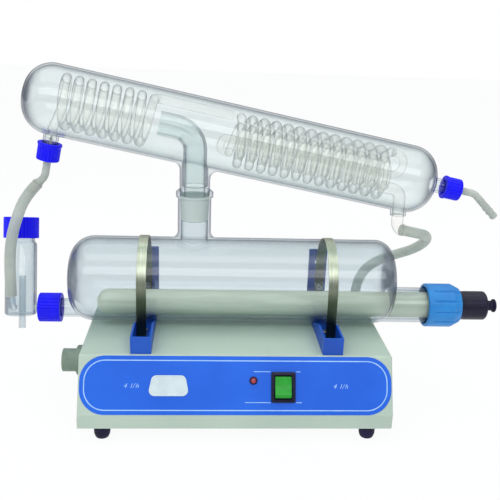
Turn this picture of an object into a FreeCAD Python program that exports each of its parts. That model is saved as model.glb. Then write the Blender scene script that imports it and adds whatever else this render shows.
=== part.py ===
import FreeCAD, Part
import math
import os
import Sketcher

# Water still: a horizontal glass boiler with an immersion heater on a sheet steel base, and above it a
# tilted glass condenser on a ground joint. X runs to the right, Y to the back, Z up, in millimetres.

Vector = FreeCAD.Vector
doc = FreeCAD.newDocument("water_still")
sheet = doc.addObject("Spreadsheet::Sheet", "Sizes")
nodes = []


class Size:
    # A number together with the spreadsheet formula that gives it
    def __init__(self, value, formula):
        self.value = value
        self.formula = formula

    def join(self, sign, other, value):
        return Size(value, "(%s %s %s)" % (self.formula, sign, formula_of(other)))

    def __add__(self, other):
        return self.join("+", other, self.value + number(other))

    def __sub__(self, other):
        return self.join("-", other, self.value - number(other))

    def __mul__(self, other):
        return self.join("*", other, self.value * number(other))

    def __truediv__(self, other):
        return self.join("/", other, self.value / number(other))

    def __neg__(self):
        return Size(-self.value, "(0 - %s)" % self.formula)

    def __radd__(self, other):
        return Size(float(other), repr(float(other))) + self

    def __rsub__(self, other):
        return Size(float(other), repr(float(other))) - self

    def __rmul__(self, other):
        return self * other


def number(value):
    return value.value if isinstance(value, Size) else float(value)


def formula_of(value):
    return value.formula if isinstance(value, Size) else repr(float(value))


def sine(angle):
    return Size(math.sin(math.radians(angle.value)), "sin(%s)" % angle.formula)


def cosine(angle):
    return Size(math.cos(math.radians(angle.value)), "cos(%s)" % angle.formula)


def tangent(angle):
    return Size(math.tan(math.radians(angle.value)), "tan(%s)" % angle.formula)


def root(value):
    return Size(math.sqrt(value.value), "sqrt(%s)" % value.formula)


def size(name, value):
    # A driving dimension in the next row of the sheet
    size.row += 1
    sheet.set("A%d" % size.row, name.replace("_", " "))
    sheet.set("B%d" % size.row, repr(float(value)))
    sheet.setAlias("B%d" % size.row, name)
    return Size(float(value), "Sizes.%s" % name)


size.row = 0

# Place of the base in the part's own frame
base_x = size("base_centre_from_origin_x", -22.5)
base_y = size("base_front_from_origin_y", -106.5)

# Clearances
gap = size("fit_gap", 0.3)
slip = size("running_gap", 0.1)

# Base
sheet_wall = size("sheet_thickness", 1.2)
fold_radius = size("fold_radius", 2.5)
base_width = size("base_width", 340.0)
base_depth = size("base_depth", 200.0)
base_height = size("base_height", 74.0)
lip_height = size("front_lip_height", 15.5)
panel_lean = size("panel_lean", 23.8)
foot_height = size("foot_height", 16.0)
foot_radius = size("foot_radius", 9.0)
foot_inset_x = size("foot_inset_side", 25.0)
foot_inset_y = size("foot_inset_front", 12.0)
foot_recess = size("foot_recess_radius", 4.6)
foot_recess_depth = size("foot_recess_depth", 9.0)

# Screws
screw_radius = size("screw_radius", 2.0)
screw_head_radius = size("screw_head_radius", 3.8)
screw_head_height = size("screw_head_height", 2.2)
nut_radius = size("nut_radius", 3.9)
nut_height = size("nut_height", 3.0)

# Front panel
label_height = size("label_height", 62.4)
label_margin = size("label_side_margin", 1.8)
label_corner = size("label_corner_radius", 27.0)
label_thickness = size("label_thickness", 0.4)
badge_x = size("badge_x", -74.2)
badge_up = size("badge_up_panel", 31.6)
badge_bottom_width = size("badge_bottom_width", 44.5)
badge_top_width = size("badge_top_width", 33.0)
badge_height = size("badge_height", 25.0)
badge_thickness = size("badge_thickness", 0.8)
badge_corner = size("badge_corner_radius", 3.0)
lamp_x = size("lamp_x", 17.3)
lamp_up = size("lamp_up_panel", 37.3)
lamp_flange_radius = size("lamp_flange_radius", 4.4)
lamp_flange_height = size("lamp_flange_height", 1.2)
lamp_barrel_radius = size("lamp_barrel_radius", 2.9)
lamp_barrel_length = size("lamp_barrel_length", 18.0)
lamp_lens_radius = size("lamp_lens_radius", 3.0)
lamp_lens_height = size("lamp_lens_height", 2.6)
switch_x = size("switch_x", 49.7)
switch_up = size("switch_up_panel", 30.3)
switch_width = size("switch_bezel_width", 26.4)
switch_height = size("switch_bezel_height", 32.6)
switch_bezel = size("switch_bezel_thickness", 2.0)
switch_body_width = size("switch_body_width", 22.0)
switch_body_height = size("switch_body_height", 28.8)
switch_body_depth = size("switch_body_depth", 20.0)
rocker_width = size("rocker_width", 17.6)
rocker_half = size("rocker_half_length", 11.5)
rocker_gap = size("rocker_gap", 0.5)
rocker_room = size("rocker_end_room", 1.1)
rocker_pin_radius = size("rocker_pin_radius", 1.5)
rocker_pin_depth = size("rocker_pin_depth", 1.0)
rocker_pin_reach = size("rocker_pin_reach", 1.2)
rocker_high = size("rocker_raised_height", 5.2)
rocker_middle = size("rocker_middle_height", 3.2)
rocker_low = size("rocker_pressed_height", 0.6)
rocker_sole = size("rocker_sole_depth", 5.0)

# Water connections of the base
inlet_y = size("inlet_y", 75.0)
inlet_height = size("inlet_height", 60.0)
inlet_thread_radius = size("inlet_thread_radius", 13.2)
inlet_thread_length = size("inlet_thread_length", 16.0)
inlet_bore = size("inlet_bore_radius", 8.5)
inlet_flange_radius = size("inlet_flange_radius", 17.0)
inlet_flange = size("inlet_flange_thickness", 10.0)
inlet_shank_radius = size("inlet_shank_radius", 10.5)
inlet_shank = size("inlet_shank_length", 8.0)
valve_size = size("valve_block_size", 30.0)
valve_coil_radius = size("valve_coil_radius", 12.0)
valve_coil_length = size("valve_coil_length", 14.0)
outlet_from_side = size("outlet_from_side", 11.5)
outlet_from_back = size("outlet_from_back", 13.0)
nipple_radius = size("nipple_radius", 4.2)
nipple_bore = size("nipple_bore_radius", 2.8)
nipple_reach = size("nipple_reach", 15.0)
nipple_flange_radius = size("nipple_flange_radius", 9.0)
nipple_flange = size("nipple_flange_thickness", 2.5)
nipple_shank_radius = size("nipple_shank_radius", 6.5)
nipple_shank = size("nipple_shank_length", 9.0)
nipple_tail = size("nipple_tail_length", 8.0)
hose_radius = size("hose_radius", 6.2)
inner_hose_radius = size("inner_hose_radius", 6.0)
route_unit = size("hose_route_unit", 1.0)

# Electrical outlets at the back
gland_height = size("gland_height", 48.0)
mains_gland_x = size("mains_gland_x", -60.0)
heater_gland_x = size("heater_gland_x", 90.0)
gland_radius = size("gland_radius", 9.0)
gland_nose_radius = size("gland_nose_radius", 6.5)
gland_bore = size("gland_bore_radius", 3.6)
gland_collar = size("gland_collar_length", 5.0)
gland_nose = size("gland_nose_length", 8.0)
gland_shank_radius = size("gland_shank_radius", 7.0)
gland_shank = size("gland_shank_length", 8.0)
terminal_width = size("terminal_width", 46.0)
terminal_depth = size("terminal_depth", 20.0)
terminal_height = size("terminal_height", 18.0)
terminal_hole = size("terminal_hole_radius", 2.4)
terminal_pitch = size("terminal_pitch", 14.0)
terminal_x = size("terminal_x", 30.0)
terminal_from_back = size("terminal_from_back", 50.0)
terminal_y = base_depth - terminal_from_back

# Boiler
glass_wall = size("glass_wall", 2.5)
boiler_y = size("boiler_y", 118.0)
boiler_height = size("boiler_axis_height", 144.6)
boiler_radius = size("boiler_radius", 49.4)
boiler_left = size("boiler_left_end", -192.0)
boiler_right = size("boiler_right_end", 184.5)
boiler_left_round = size("boiler_left_rounding", 28.0)
boiler_right_round = size("boiler_right_rounding", 20.0)
neck_x = size("ground_joint_x", -49.5)
cone_top_radius = size("ground_cone_top_radius", 17.25)
cone_foot_radius = size("ground_cone_foot_radius", 15.5)
cone_top_height = size("ground_cone_top_height", 251.0)
cone_foot_height = size("ground_cone_foot_height", 216.0)
socket_radius = size("socket_outer_radius", 19.0)
bead_radius = size("socket_bead_radius", 21.2)
bead_height = size("socket_bead_height", 9.0)
neck_flare = size("neck_flare_radius", 9.0)
feed_height = size("feed_neck_height", 107.0)
feed_neck_radius = size("feed_neck_radius", 11.0)
feed_neck_bore = size("feed_neck_bore_radius", 9.0)
feed_neck_end = size("feed_neck_end", -221.0)
feed_cap_radius = size("feed_cap_radius", 17.0)
feed_cap_open = size("feed_cap_open_end", -203.5)
feed_cap_shut = size("feed_cap_shut_end", -229.0)
cap_top_wall = size("cap_top_wall", 2.0)
cap_rib_depth = size("cap_rib_depth", 0.8)
heater_height = size("heater_axis_height", 115.1)
heater_radius = size("heater_sheath_radius", 15.2)
heater_tip = size("heater_tip", -162.0)
heater_wall = size("heater_sheath_wall", 1.5)
heater_neck_radius = size("heater_neck_radius", 21.0)
heater_thread_radius = size("heater_neck_thread_radius", 22.5)
heater_neck_bore = size("heater_neck_bore_radius", 18.2)
heater_neck_end = size("heater_neck_end", 240.0)
heater_flange_radius = size("heater_flange_radius", 21.5)
heater_flange = size("heater_flange_thickness", 4.0)
heater_seal_thickness = size("heater_seal_thickness", 3.0)
heater_nut_start = size("heater_nut_start", 228.0)
heater_nut_end = size("heater_nut_end", 269.5)
heater_nut_radius = size("heater_nut_radius", 26.0)
heater_nut_chamfer = size("heater_nut_chamfer", 6.0)
heater_cap_radius = size("heater_cap_radius", 17.4)
heater_cap_end = size("heater_cap_end", 303.0)
heater_cap_wall = size("heater_cap_wall", 2.0)
boot_radius = size("cable_boot_neck_radius", 6.0)
boot_end_radius = size("cable_boot_end_radius", 8.0)
boot_end = size("cable_boot_end", 316.0)
boot_bore = size("cable_boot_bore_radius", 4.0)
core_radius = size("heater_core_radius", 6.5)

# Brackets and straps
bracket_x = size("bracket_x", 104.3)
bracket_width = size("bracket_width", 22.4)
bracket_sheet = size("bracket_thickness", 2.0)
bracket_front = size("bracket_front_y", 28.0)
bracket_wall = size("bracket_front_height", 19.5)
cradle_slope = size("cradle_slope", 18.5)
upright_height = size("upright_height", 77.6)
keyhole_radius = size("keyhole_radius", 3.2)
keyhole_height = size("keyhole_height", 61.0)
keyhole_slot = size("keyhole_slot_width", 3.4)
keyhole_length = size("keyhole_slot_length", 8.0)
strap_width = size("strap_width", 11.0)
strap_thickness = size("strap_thickness", 1.0)
strap_foot = size("strap_foot_length", 8.0)
strap_tail = size("strap_tail_height", 20.0)
strap_screw_height = size("strap_screw_height", 27.4)
strap_left_offset = size("left_strap_offset", -2.5)
strap_right_offset = size("right_strap_offset", 3.3)
bracket_screw_front = size("bracket_screw_front_y", 86.0)
bracket_screw_back = size("bracket_screw_back_y", 128.0)

# Condenser
tilt = size("condenser_tilt", 11.2)
condenser_height = size("condenser_axis_height", 317.6)
condenser_radius = size("condenser_radius", 38.6)
condenser_left = size("condenser_left_end", -188.0)
condenser_right = size("condenser_right_end", 278.0)
condenser_round = size("condenser_end_rounding", 31.0)
condenser_wall = size("condenser_wall", 2.2)
steam_neck_bore = size("steam_neck_bore_radius", 12.0)
steam_neck_room = size("steam_neck_wide_radius", 15.0)
steam_seat = size("steam_elbow_seat_height", 256.0)
elbow_radius = size("steam_elbow_radius", 13.2)
elbow_wall = size("steam_elbow_wall", 1.8)
elbow_bend = size("steam_elbow_bend_radius", 26.0)
elbow_end = size("steam_elbow_end", -40.5)
coil_radius = size("coil_centre_radius", 25.5)
coil_tube = size("coil_tube_radius", 4.4)
outlet_neck = size("outlet_neck", -152.5)
left_coil_end = size("left_coil_end", -50.5)
left_coil_turns = size("left_coil_turns", 7.5)
right_coil_start = size("right_coil_start", 46.0)
right_coil_end = size("right_coil_end", 222.4)
right_coil_turns = size("right_coil_turns", 13)
inner_coil_start = size("inner_coil_start", 41.0)
inner_coil_radius = size("inner_coil_centre_radius", 15.4)
inner_coil_tube = size("inner_coil_tube_radius", 4.0)
return_bend = size("return_bend_end", 238.0)
return_bend_radius = size("return_bend_radius", 12.0)
hairpin_end = size("hairpin_end", 30.5)
hairpin_radius = size("hairpin_radius", 5.6)
port_neck_radius = size("port_neck_radius", 8.5)
port_neck_bore = size("port_neck_bore_radius", 6.5)
port_cap_radius = size("port_cap_radius", 12.6)
port_cap_length = size("port_cap_length", 19.5)
port_rim = size("port_cap_rim_height", 3.0)
port_rim_radius = size("port_cap_rim_radius", 13.4)
outlet_cap_start = size("outlet_cap_start", 47.5)
product_cap_start = size("product_cap_start", 290.8)
port_neck_inset = size("port_neck_inside_cap", 12.5)
seal_thickness = size("seal_thickness", 2.0)
spout_radius = size("spout_radius", 4.2)
spout_bore = size("spout_bore_radius", 3.0)
spout_flange_radius = size("spout_flange_radius", 8.4)
spout_flange = size("spout_flange_thickness", 1.6)
spout_straight = size("spout_straight", 19.0)
spout_bend = size("spout_bend_angle", 34.0)
spout_bend_radius = size("spout_bend_radius", 14.0)
product_leg = size("product_spout_leg", 39.0)
outlet_leg = size("outlet_spout_leg", 25.0)
barb_radius = size("barb_radius", 4.9)
barb_pitch = size("barb_pitch", 6.5)
port_x = size("coolant_port_x", 186.0)
port_tube_radius = size("coolant_port_tube_radius", 7.0)
port_boss_radius = size("coolant_port_boss_radius", 9.2)
port_boss_foot = size("coolant_port_boss_foot", 226.5)
port_bend_radius = size("coolant_port_bend_radius", 12.0)
port_end_x = size("coolant_port_end_x", 192.0)
port_end_back = size("coolant_port_end_behind_axis", 1.4)
port_end_drop = size("coolant_port_end_drop", 18.3)
port_end_height = port_boss_foot - port_end_drop

# Level vessel
level_x = size("level_vessel_x", -251.0)
level_lean = size("level_vessel_lean", 15.5)
level_radius = size("level_vessel_radius", 18.0)
level_wall = size("level_vessel_wall", 1.8)
level_foot = size("level_vessel_foot", 9.5)
level_shoulder = size("level_vessel_shoulder", 73.5)
level_neck_radius = size("level_neck_radius", 15.5)
level_neck_top = size("level_neck_top", 101.0)
level_cap_start = size("level_cap_start", 80.6)
level_cap_end = size("level_cap_end", 105.0)
level_cap_radius = size("level_cap_radius", 20.0)
liner_thickness = size("level_cap_liner_thickness", 1.5)
arm_radius = size("side_arm_radius", 5.5)
arm_bore = size("side_arm_bore_radius", 3.8)
arm_end = size("side_arm_end", -214.0)
standpipe_radius = size("standpipe_radius", 4.0)
standpipe_bore = size("standpipe_bore_radius", 2.6)
standpipe_top = size("standpipe_top", 36.0)
standpipe_y = size("standpipe_y", 8.0)
overflow_drop = size("overflow_spout_length", 16.0)
hose_foot_x = size("hose_foot_x", -255.5)
hose_foot_y = size("hose_foot_y", 97.5)
hose_foot_height = size("hose_foot_height", 129.0)
level_nipple_bend = size("level_nipple_bend_radius", 8.0)

doc.recompute()

base_top = foot_height + base_height
outlet_x = base_width / 2 - outlet_from_side
outlet_y = base_depth - outlet_from_back


def bind(thing, name, value):
    if isinstance(value, Size):
        thing.setExpression(name, value.formula)
    else:
        setattr(thing, name, value)


def place(thing, x=0.0, y=0.0, z=0.0, axis=None, angle=0.0):
    # Places a thing given in the base's own coordinates: middle of the width, front edge, floor
    turn = FreeCAD.Rotation(axis or Vector(0, 0, 1), number(angle))
    thing.Placement = FreeCAD.Placement(Vector(0, 0, 0), turn)
    thing.setExpression("Placement.Base.x", (base_x + x).formula)
    thing.setExpression("Placement.Base.y", (base_y + y).formula)
    thing.setExpression("Placement.Base.z", formula_of(z))
    if isinstance(angle, Size):
        thing.setExpression("Placement.Rotation.Angle", angle.formula)
    return thing


side_axis = Vector(0, 1, 0)
tip_axis = Vector(1, 0, 0)


def keep(thing, label):
    thing.Label = label
    nodes.append(thing)
    return thing


def primitive(kind, name, **sizes):
    thing = doc.addObject(kind, name)
    for key, value in sizes.items():
        bind(thing, key, value)
    return thing


def cylinder(name, radius, height):
    return primitive("Part::Cylinder", name, Radius=radius, Height=height)


def cone(name, foot, top, height):
    return primitive("Part::Cone", name, Radius1=foot, Radius2=top, Height=height)


def block(name, length, width, height):
    return primitive("Part::Box", name, Length=length, Width=width, Height=height)


def fuse(name, *things):
    joined = doc.addObject("Part::MultiFuse", name)
    joined.Shapes = list(things)
    return joined


def cut(name, thing, *tools):
    made = doc.addObject("Part::Cut", name)
    made.Base = thing
    made.Tool = tools[0] if len(tools) == 1 else fuse(name + "_tools", *tools)
    return made


def origin_plane(body, role):
    return next(feature for feature in body.Origin.OriginFeatures if feature.Role == role)


def fix_point(sketch, line, point):
    # Ties the start of a line to its two sizes, or to an axis where the size is nought
    for kind, value, axis in (("DistanceX", point[0], -2), ("DistanceY", point[1], -1)):
        if not isinstance(value, Size) and value == 0:
            sketch.addConstraint(Sketcher.Constraint("PointOnObject", line, 1, axis))
            continue
        made = sketch.addConstraint(Sketcher.Constraint(kind, -1, 1, line, 1, number(value)))
        if isinstance(value, Size):
            sketch.setExpression("Constraints[%d]" % made, value.formula)


def outline(body, name, role, points):
    # A closed outline of straight lines through the given points, on one of the body's planes
    sketch = body.newObject("Sketcher::SketchObject", name)
    sketch.AttachmentSupport = [(origin_plane(body, role), "")]
    sketch.MapMode = "FlatFace"
    places = [Vector(number(p[0]), number(p[1]), 0) for p in points]
    count = len(places)
    for i in range(count):
        sketch.addGeometry(Part.LineSegment(places[i], places[(i + 1) % count]))
    for i in range(count):
        sketch.addConstraint(Sketcher.Constraint("Coincident", i, 2, (i + 1) % count, 1))
    for i, point in enumerate(points):
        fix_point(sketch, i, point)
    return sketch


def turned(name, points):
    # A turned solid about Z from (radius, height) points
    body = doc.addObject("PartDesign::Body", name)
    sketch = outline(body, name + "_profile", "XZ_Plane", points)
    turn = body.newObject("PartDesign::Revolution", name + "_turn")
    turn.Profile = sketch
    turn.ReferenceAxis = (sketch, ["V_Axis"])
    turn.Angle = 360
    return body


def ring(name, outer, inner, low, high):
    return turned(name, [(inner, low), (outer, low), (outer, high), (inner, high)])


def padded(name, role, points, depth, symmetric=False):
    body = doc.addObject("PartDesign::Body", name)
    pad = body.newObject("PartDesign::Pad", name + "_pad")
    pad.Profile = outline(body, name + "_outline", role, points)
    bind(pad, "Length", depth)
    if symmetric:
        pad.SideType = "Symmetric"
    return body


def pocketed(body, role, points, width):
    # Cuts an outline out of the body, the same width to both sides of its plane
    pocket = body.newObject("PartDesign::Pocket", body.Name + "_pocket")
    pocket.Profile = outline(body, body.Name + "_inside", role, points)
    pocket.SideType = "Symmetric"
    bind(pocket, "Length", width)
    return pocket


def round_edges(body, test, radius):
    # Rounds the edges of the body's last feature that pass the test
    doc.recompute()
    last = body.Tip
    chosen = ["Edge%d" % (i + 1) for i, edge in enumerate(last.Shape.Edges) if test(edge)]
    fillet = body.newObject("PartDesign::Fillet", "%s_round_%d" % (body.Name, len(body.Group)))
    fillet.Base = (last, chosen)
    bind(fillet, "Radius", radius)
    return fillet


def along(edge, axis):
    return edge.Length > 1.0 and abs(abs(edge.tangentAt(edge.FirstParameter).dot(axis)) - 1.0) < 1e-6


def capsule(name, radius, low, high, low_round, high_round):
    # A round bar about Z with rounded ends
    body = turned(name, [(0, low), (radius, low), (radius, high), (0, high)])
    round_edges(body, lambda edge: on_circle(edge, radius, low), low_round)
    round_edges(body, lambda edge: on_circle(edge, radius, high), high_round)
    return body


def on_circle(edge, radius, height):
    box = edge.BoundBox
    return (abs(box.ZMin - number(height)) < 1e-3 and abs(box.ZMax - number(height)) < 1e-3
            and abs(box.XLength - 2 * number(radius)) < 1e-2)


def solid_of(name, shape):
    thing = doc.addObject("Part::Feature", name)
    thing.Shape = shape
    return thing


def bent_path(points, bends=None):
    # Straight runs joined by tangent arcs; with no bends given, each arc is as large as its runs allow
    places = [Vector(*[number(value) for value in point]) for point in points]
    edges = []
    radii = []
    start = places[0]
    for i, corner in enumerate(places[1:-1]):
        before = places[i]
        after = places[i + 2]
        come = (corner - before).normalize()
        leave = (after - corner).normalize()
        half = come.getAngle(leave) / 2
        shorter = min((corner - before).Length, (after - corner).Length)
        bend = number(bends[i]) if bends else 0.45 * shorter / math.tan(half)
        reach = bend * math.tan(half)
        first = corner - come * reach
        last = corner + leave * reach
        middle = corner + (leave - come).normalize() * bend * (1 / math.cos(half) - 1)
        edges.append(Part.LineSegment(start, first).toShape())
        edges.append(Part.Arc(first, middle, last).toShape())
        radii.append(bend)
        start = last
    edges.append(Part.LineSegment(start, places[-1]).toShape())
    return Part.Wire(edges), radii


def swept(path, radius):
    # A round bar along a path
    edge = path.OrderedEdges[0]
    start = edge.valueAt(edge.FirstParameter)
    heading = edge.tangentAt(edge.FirstParameter)
    circle = Part.Wire([Part.Circle(start, heading, number(radius)).toShape()])
    return path.makePipeShell([circle], True, False)


def bent_bar(points, radius, bends=None):
    path, radii = bent_path(points, bends)
    return swept(path, radius)


def world(points):
    # Points given in the base's coordinates, moved into the part's frame
    return [(number(p[0]) + number(base_x), number(p[1]) + number(base_y), number(p[2])) for p in points]


def bar_end(points, depth, radius, at_start):
    # The straight bore at one end of a hose
    ends = [Vector(*point) for point in (points[:2] if at_start else points[:-3:-1])]
    heading = (ends[1] - ends[0]).normalize()
    return Part.makeCylinder(number(radius), number(depth) + 1.0, ends[0] - heading, heading)


def casing():
    lean = tangent(panel_lean)
    setback = (base_height - lip_height) * lean
    body = padded("casing_form", "YZ_Plane", [
        (0, 0), (base_depth, 0), (base_depth, base_height), (setback, base_height), (0, lip_height),
    ], base_width, True)
    low = number(fold_radius)
    round_edges(body, lambda edge: edge.BoundBox.ZMax > low and edge.BoundBox.ZMin >= 0.0, fold_radius)
    inner_top = base_height - sheet_wall
    inner_lip = lip_height - sheet_wall * tangent(panel_lean / 2)
    inner_setback = (sheet_wall + (inner_top - lip_height) * sine(panel_lean)) / cosine(panel_lean)
    pocketed(body, "YZ_Plane", [
        (sheet_wall, 0), (base_depth - sheet_wall, 0), (base_depth - sheet_wall, inner_top),
        (inner_setback, inner_top), (sheet_wall, inner_lip),
    ], base_width - sheet_wall * 2)
    place(body, 0.0, 0.0, foot_height)
    tools = panel_tools("casing", sheet_wall * 6)
    side = cylinder("casing_inlet_hole", inlet_shank_radius + gap, 12.0)
    tools.append(place(side, -(base_width / 2) - 6.0, inlet_y, inlet_height, side_axis, 90))
    outlet = cylinder("casing_outlet_hole", nipple_shank_radius + slip, 12.0)
    tools.append(place(outlet, outlet_x, outlet_y, base_top - 6.0))
    for name, x in (("mains", mains_gland_x), ("heater", heater_gland_x)):
        hole = cylinder("casing_%s_hole" % name, gland_shank_radius + slip, 12.0)
        tools.append(place(hole, x, base_depth - 6.0, gland_height, tip_axis, -90))
    for side_name, x, strap_x in bracket_places():
        slot = block("casing_%s_slot" % side_name, strap_width + gap * 2, strap_thickness + gap * 2, 12.0)
        tools.append(place(slot, strap_x - strap_width / 2 - gap, strap_front() - gap, base_top - 6.0))
        for end, y in (("front", bracket_screw_front), ("back", bracket_screw_back)):
            hole = cylinder("casing_%s_%s_hole" % (side_name, end), screw_radius + slip, 12.0)
            tools.append(place(hole, x, y, base_top - 6.0))
    keep(cut("casing_cut", body, *tools), "base_casing")


def panel_place(thing, x, up, out=0.0):
    # Places a thing on the front panel: X along it, Y up the slope, Z out of it
    y = up * sine(panel_lean) - cosine(panel_lean) * out
    z = foot_height + lip_height + up * cosine(panel_lean) + sine(panel_lean) * out
    return place(thing, x, y, z, tip_axis, 90.0 - panel_lean)


def panel_tools(name, depth):
    # The cut-outs for the switch body and the lamp barrel
    width = switch_body_width + gap * 2
    height = switch_body_height + gap * 2
    opening = padded(name + "_switch_opening", "XY_Plane", [
        (-(width / 2), -(height / 2)), (width / 2, -(height / 2)), (width / 2, height / 2),
        (-(width / 2), height / 2),
    ], depth)
    panel_place(opening, switch_x, switch_up, -(depth / 2))
    hole = cylinder(name + "_lamp_hole", lamp_barrel_radius + gap, depth)
    panel_place(hole, lamp_x, lamp_up, -(depth / 2))
    return [opening, hole]


def panel_length():
    return (base_height - lip_height) / cosine(panel_lean)


def front_label():
    half = base_width / 2 - label_margin
    low = (panel_length() - label_height) / 2
    body = padded("label_form", "XY_Plane", [
        (-half, low), (half, low), (half, low + label_height), (-half, low + label_height),
    ], label_thickness)
    round_edges(body, lambda edge: along(edge, Vector(0, 0, 1)) or edge.BoundBox.ZLength > 0.3, label_corner)
    panel_place(body, 0.0, 0.0)
    keep(cut("label_cut", body, *panel_tools("label", label_thickness * 6)), "front_label")


def badge_plate():
    low = badge_up - badge_height / 2
    body = padded("badge_form", "XY_Plane", [
        (-(badge_bottom_width / 2), low), (badge_bottom_width / 2, low),
        (badge_top_width / 2, low + badge_height), (-(badge_top_width / 2), low + badge_height),
    ], badge_thickness)
    round_edges(body, lambda edge: edge.BoundBox.ZLength > 0.5, badge_corner)
    panel_place(body, badge_x, 0.0, label_thickness)
    keep(body, "badge_plate")


def lamp():
    body = turned("lamp_body", [
        (0, -lamp_barrel_length), (lamp_barrel_radius, -lamp_barrel_length), (lamp_barrel_radius, 0),
        (lamp_flange_radius, 0), (lamp_flange_radius, lamp_flange_height), (0, lamp_flange_height),
    ])
    panel_place(body, lamp_x, lamp_up, label_thickness)
    keep(body, "lamp_body")
    lens = turned("lamp_lens_form", [
        (0, 0), (lamp_lens_radius, 0), (lamp_lens_radius, lamp_lens_height), (0, lamp_lens_height),
    ])
    round_edges(lens, lambda edge: on_circle(edge, lamp_lens_radius, lamp_lens_height), lamp_lens_radius * 0.7)
    panel_place(lens, lamp_x, lamp_up, label_thickness + lamp_flange_height)
    keep(lens, "lamp_lens")


def centred(name, width, height, depth):
    # A block centred in X and Y with its foot on its own plane
    return padded(name, "XY_Plane", [
        (-(width / 2), -(height / 2)), (width / 2, -(height / 2)), (width / 2, height / 2),
        (-(width / 2), height / 2),
    ], depth)


def rocker_pivot_out():
    return label_thickness + switch_bezel - rocker_pin_depth * 3


def switch():
    bezel = centred("switch_bezel_form", switch_width, switch_height, switch_bezel)
    round_edges(bezel, lambda edge: along(edge, Vector(0, 0, 1)), switch_bezel)
    panel_place(bezel, switch_x, switch_up, label_thickness)
    body = centred("switch_body_form", switch_body_width, switch_body_height, switch_body_depth)
    panel_place(body, switch_x, switch_up, label_thickness - switch_body_depth)
    room_depth = switch_body_depth * 0.6
    room = centred("switch_room", rocker_width + rocker_gap * 2, (rocker_half + rocker_room) * 2, room_depth)
    panel_place(room, switch_x, switch_up, label_thickness + switch_bezel - room_depth + 0.01)
    reach = rocker_width + (rocker_gap + rocker_pin_reach + slip) * 2
    hole = cylinder("switch_pin_hole", rocker_pin_radius + slip / 2, reach)
    sunk = sine(panel_lean) * rocker_pivot_out()
    place(hole, switch_x - reach / 2, switch_up * sine(panel_lean) - cosine(panel_lean) * rocker_pivot_out(),
          foot_height + lip_height + switch_up * cosine(panel_lean) + sunk, side_axis, 90)
    keep(cut("switch_cut", fuse("switch_joined", bezel, body), room, hole), "switch_body")


def rocker():
    top = rocker_pin_depth * 3
    body = padded("rocker_form", "YZ_Plane", [
        (-rocker_half, -(rocker_sole - 1.0)), (rocker_half, -(rocker_sole - 1.0)),
        (rocker_half, rocker_low + top - 1.5), (0, rocker_middle), (-(rocker_half * 0.8), rocker_high + 0.6),
        (-rocker_half, rocker_high - 1.6),
    ], rocker_width, True)
    pin_length = rocker_width + (rocker_gap + rocker_pin_reach) * 2
    pin = cylinder("rocker_pin", rocker_pin_radius, pin_length)
    pivot_y = switch_up * sine(panel_lean) - cosine(panel_lean) * rocker_pivot_out()
    pivot_z = foot_height + lip_height + switch_up * cosine(panel_lean) + sine(panel_lean) * rocker_pivot_out()
    panel_place(body, switch_x, switch_up, rocker_pivot_out())
    place(pin, switch_x - pin_length / 2, pivot_y, pivot_z, side_axis, 90)
    keep(fuse("rocker_joined", body, pin), "rocker")


def foot_places():
    half = base_width / 2 - foot_inset_x
    for end, y in (("front", foot_inset_y), ("rear", base_depth - foot_inset_y)):
        for side, x in (("left", -half), ("right", half)):
            yield "foot_%s_%s" % (end, side), x, y


def base_bottom():
    room = sheet_wall + gap
    body = padded("bottom_plate_form", "XY_Plane", [
        (-(base_width / 2 - room), room), (base_width / 2 - room, room),
        (base_width / 2 - room, base_depth - room), (-(base_width / 2 - room), base_depth - room),
    ], sheet_wall)
    place(body, 0.0, 0.0, foot_height)
    tools = []
    screws = []
    nuts = []
    for name, x, y in foot_places():
        hole = cylinder(name + "_plate_hole", screw_radius + slip, 12.0)
        tools.append(place(hole, x, y, foot_height - 6.0))
        foot = turned(name + "_form", [
            (screw_radius + slip, foot_recess_depth), (foot_recess, foot_recess_depth), (foot_recess, 0),
            (foot_radius * 0.75, 0), (foot_radius * 0.93, foot_height * 0.25), (foot_radius, foot_height),
            (screw_radius + slip, foot_height),
        ])
        keep(place(foot, x, y), name)
        head = foot_recess_depth - screw_head_height
        reach = foot_height + sheet_wall + nut_height + 1.0
        screw = turned(name + "_screw", [
            (0, head), (screw_head_radius, head), (screw_head_radius, foot_recess_depth),
            (screw_radius, foot_recess_depth), (screw_radius, reach), (0, reach),
        ])
        screws.append(place(screw, x, y))
        nut = ring(name + "_nut", nut_radius, screw_radius + slip / 10, 0, nut_height)
        nuts.append(place(nut, x, y, foot_height + sheet_wall))
    keep(cut("bottom_plate_cut", body, *tools), "bottom_plate")
    keep(fuse("foot_screw_group", *screws), "foot_screws")
    keep(fuse("foot_nut_group", *nuts), "foot_nuts")


def water_inlet():
    # Built along Z and laid over, thread outwards to the left
    shank = -(inlet_shank + sheet_wall)
    body = turned("water_inlet_form", [
        (inlet_bore, shank), (inlet_shank_radius, shank), (inlet_shank_radius, 0), (inlet_flange_radius, 0),
        (inlet_flange_radius, inlet_flange), (inlet_thread_radius, inlet_flange),
        (inlet_thread_radius, inlet_flange + inlet_thread_length),
        (inlet_bore, inlet_flange + inlet_thread_length),
    ])
    place(body, -(base_width / 2), inlet_y, inlet_height, side_axis, -90)
    keep(body, "water_inlet")
    left = -(base_width / 2) + sheet_wall + inlet_shank
    valve = block("valve_block", valve_size, valve_size, valve_size)
    place(valve, left, inlet_y - valve_size / 2, inlet_height - valve_size / 2)
    coil = cylinder("valve_coil", valve_coil_radius, valve_coil_length)
    place(coil, left + valve_size / 2, inlet_y + valve_size / 2, inlet_height, tip_axis, -90)
    bore = cylinder("valve_bore", inlet_bore * 0.6, valve_size - 4.0)
    place(bore, left, inlet_y, inlet_height, side_axis, 90)
    joined = fuse("valve_joined", valve, coil)
    keep(cut("valve_cut", joined, bore), "inlet_valve")


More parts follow.
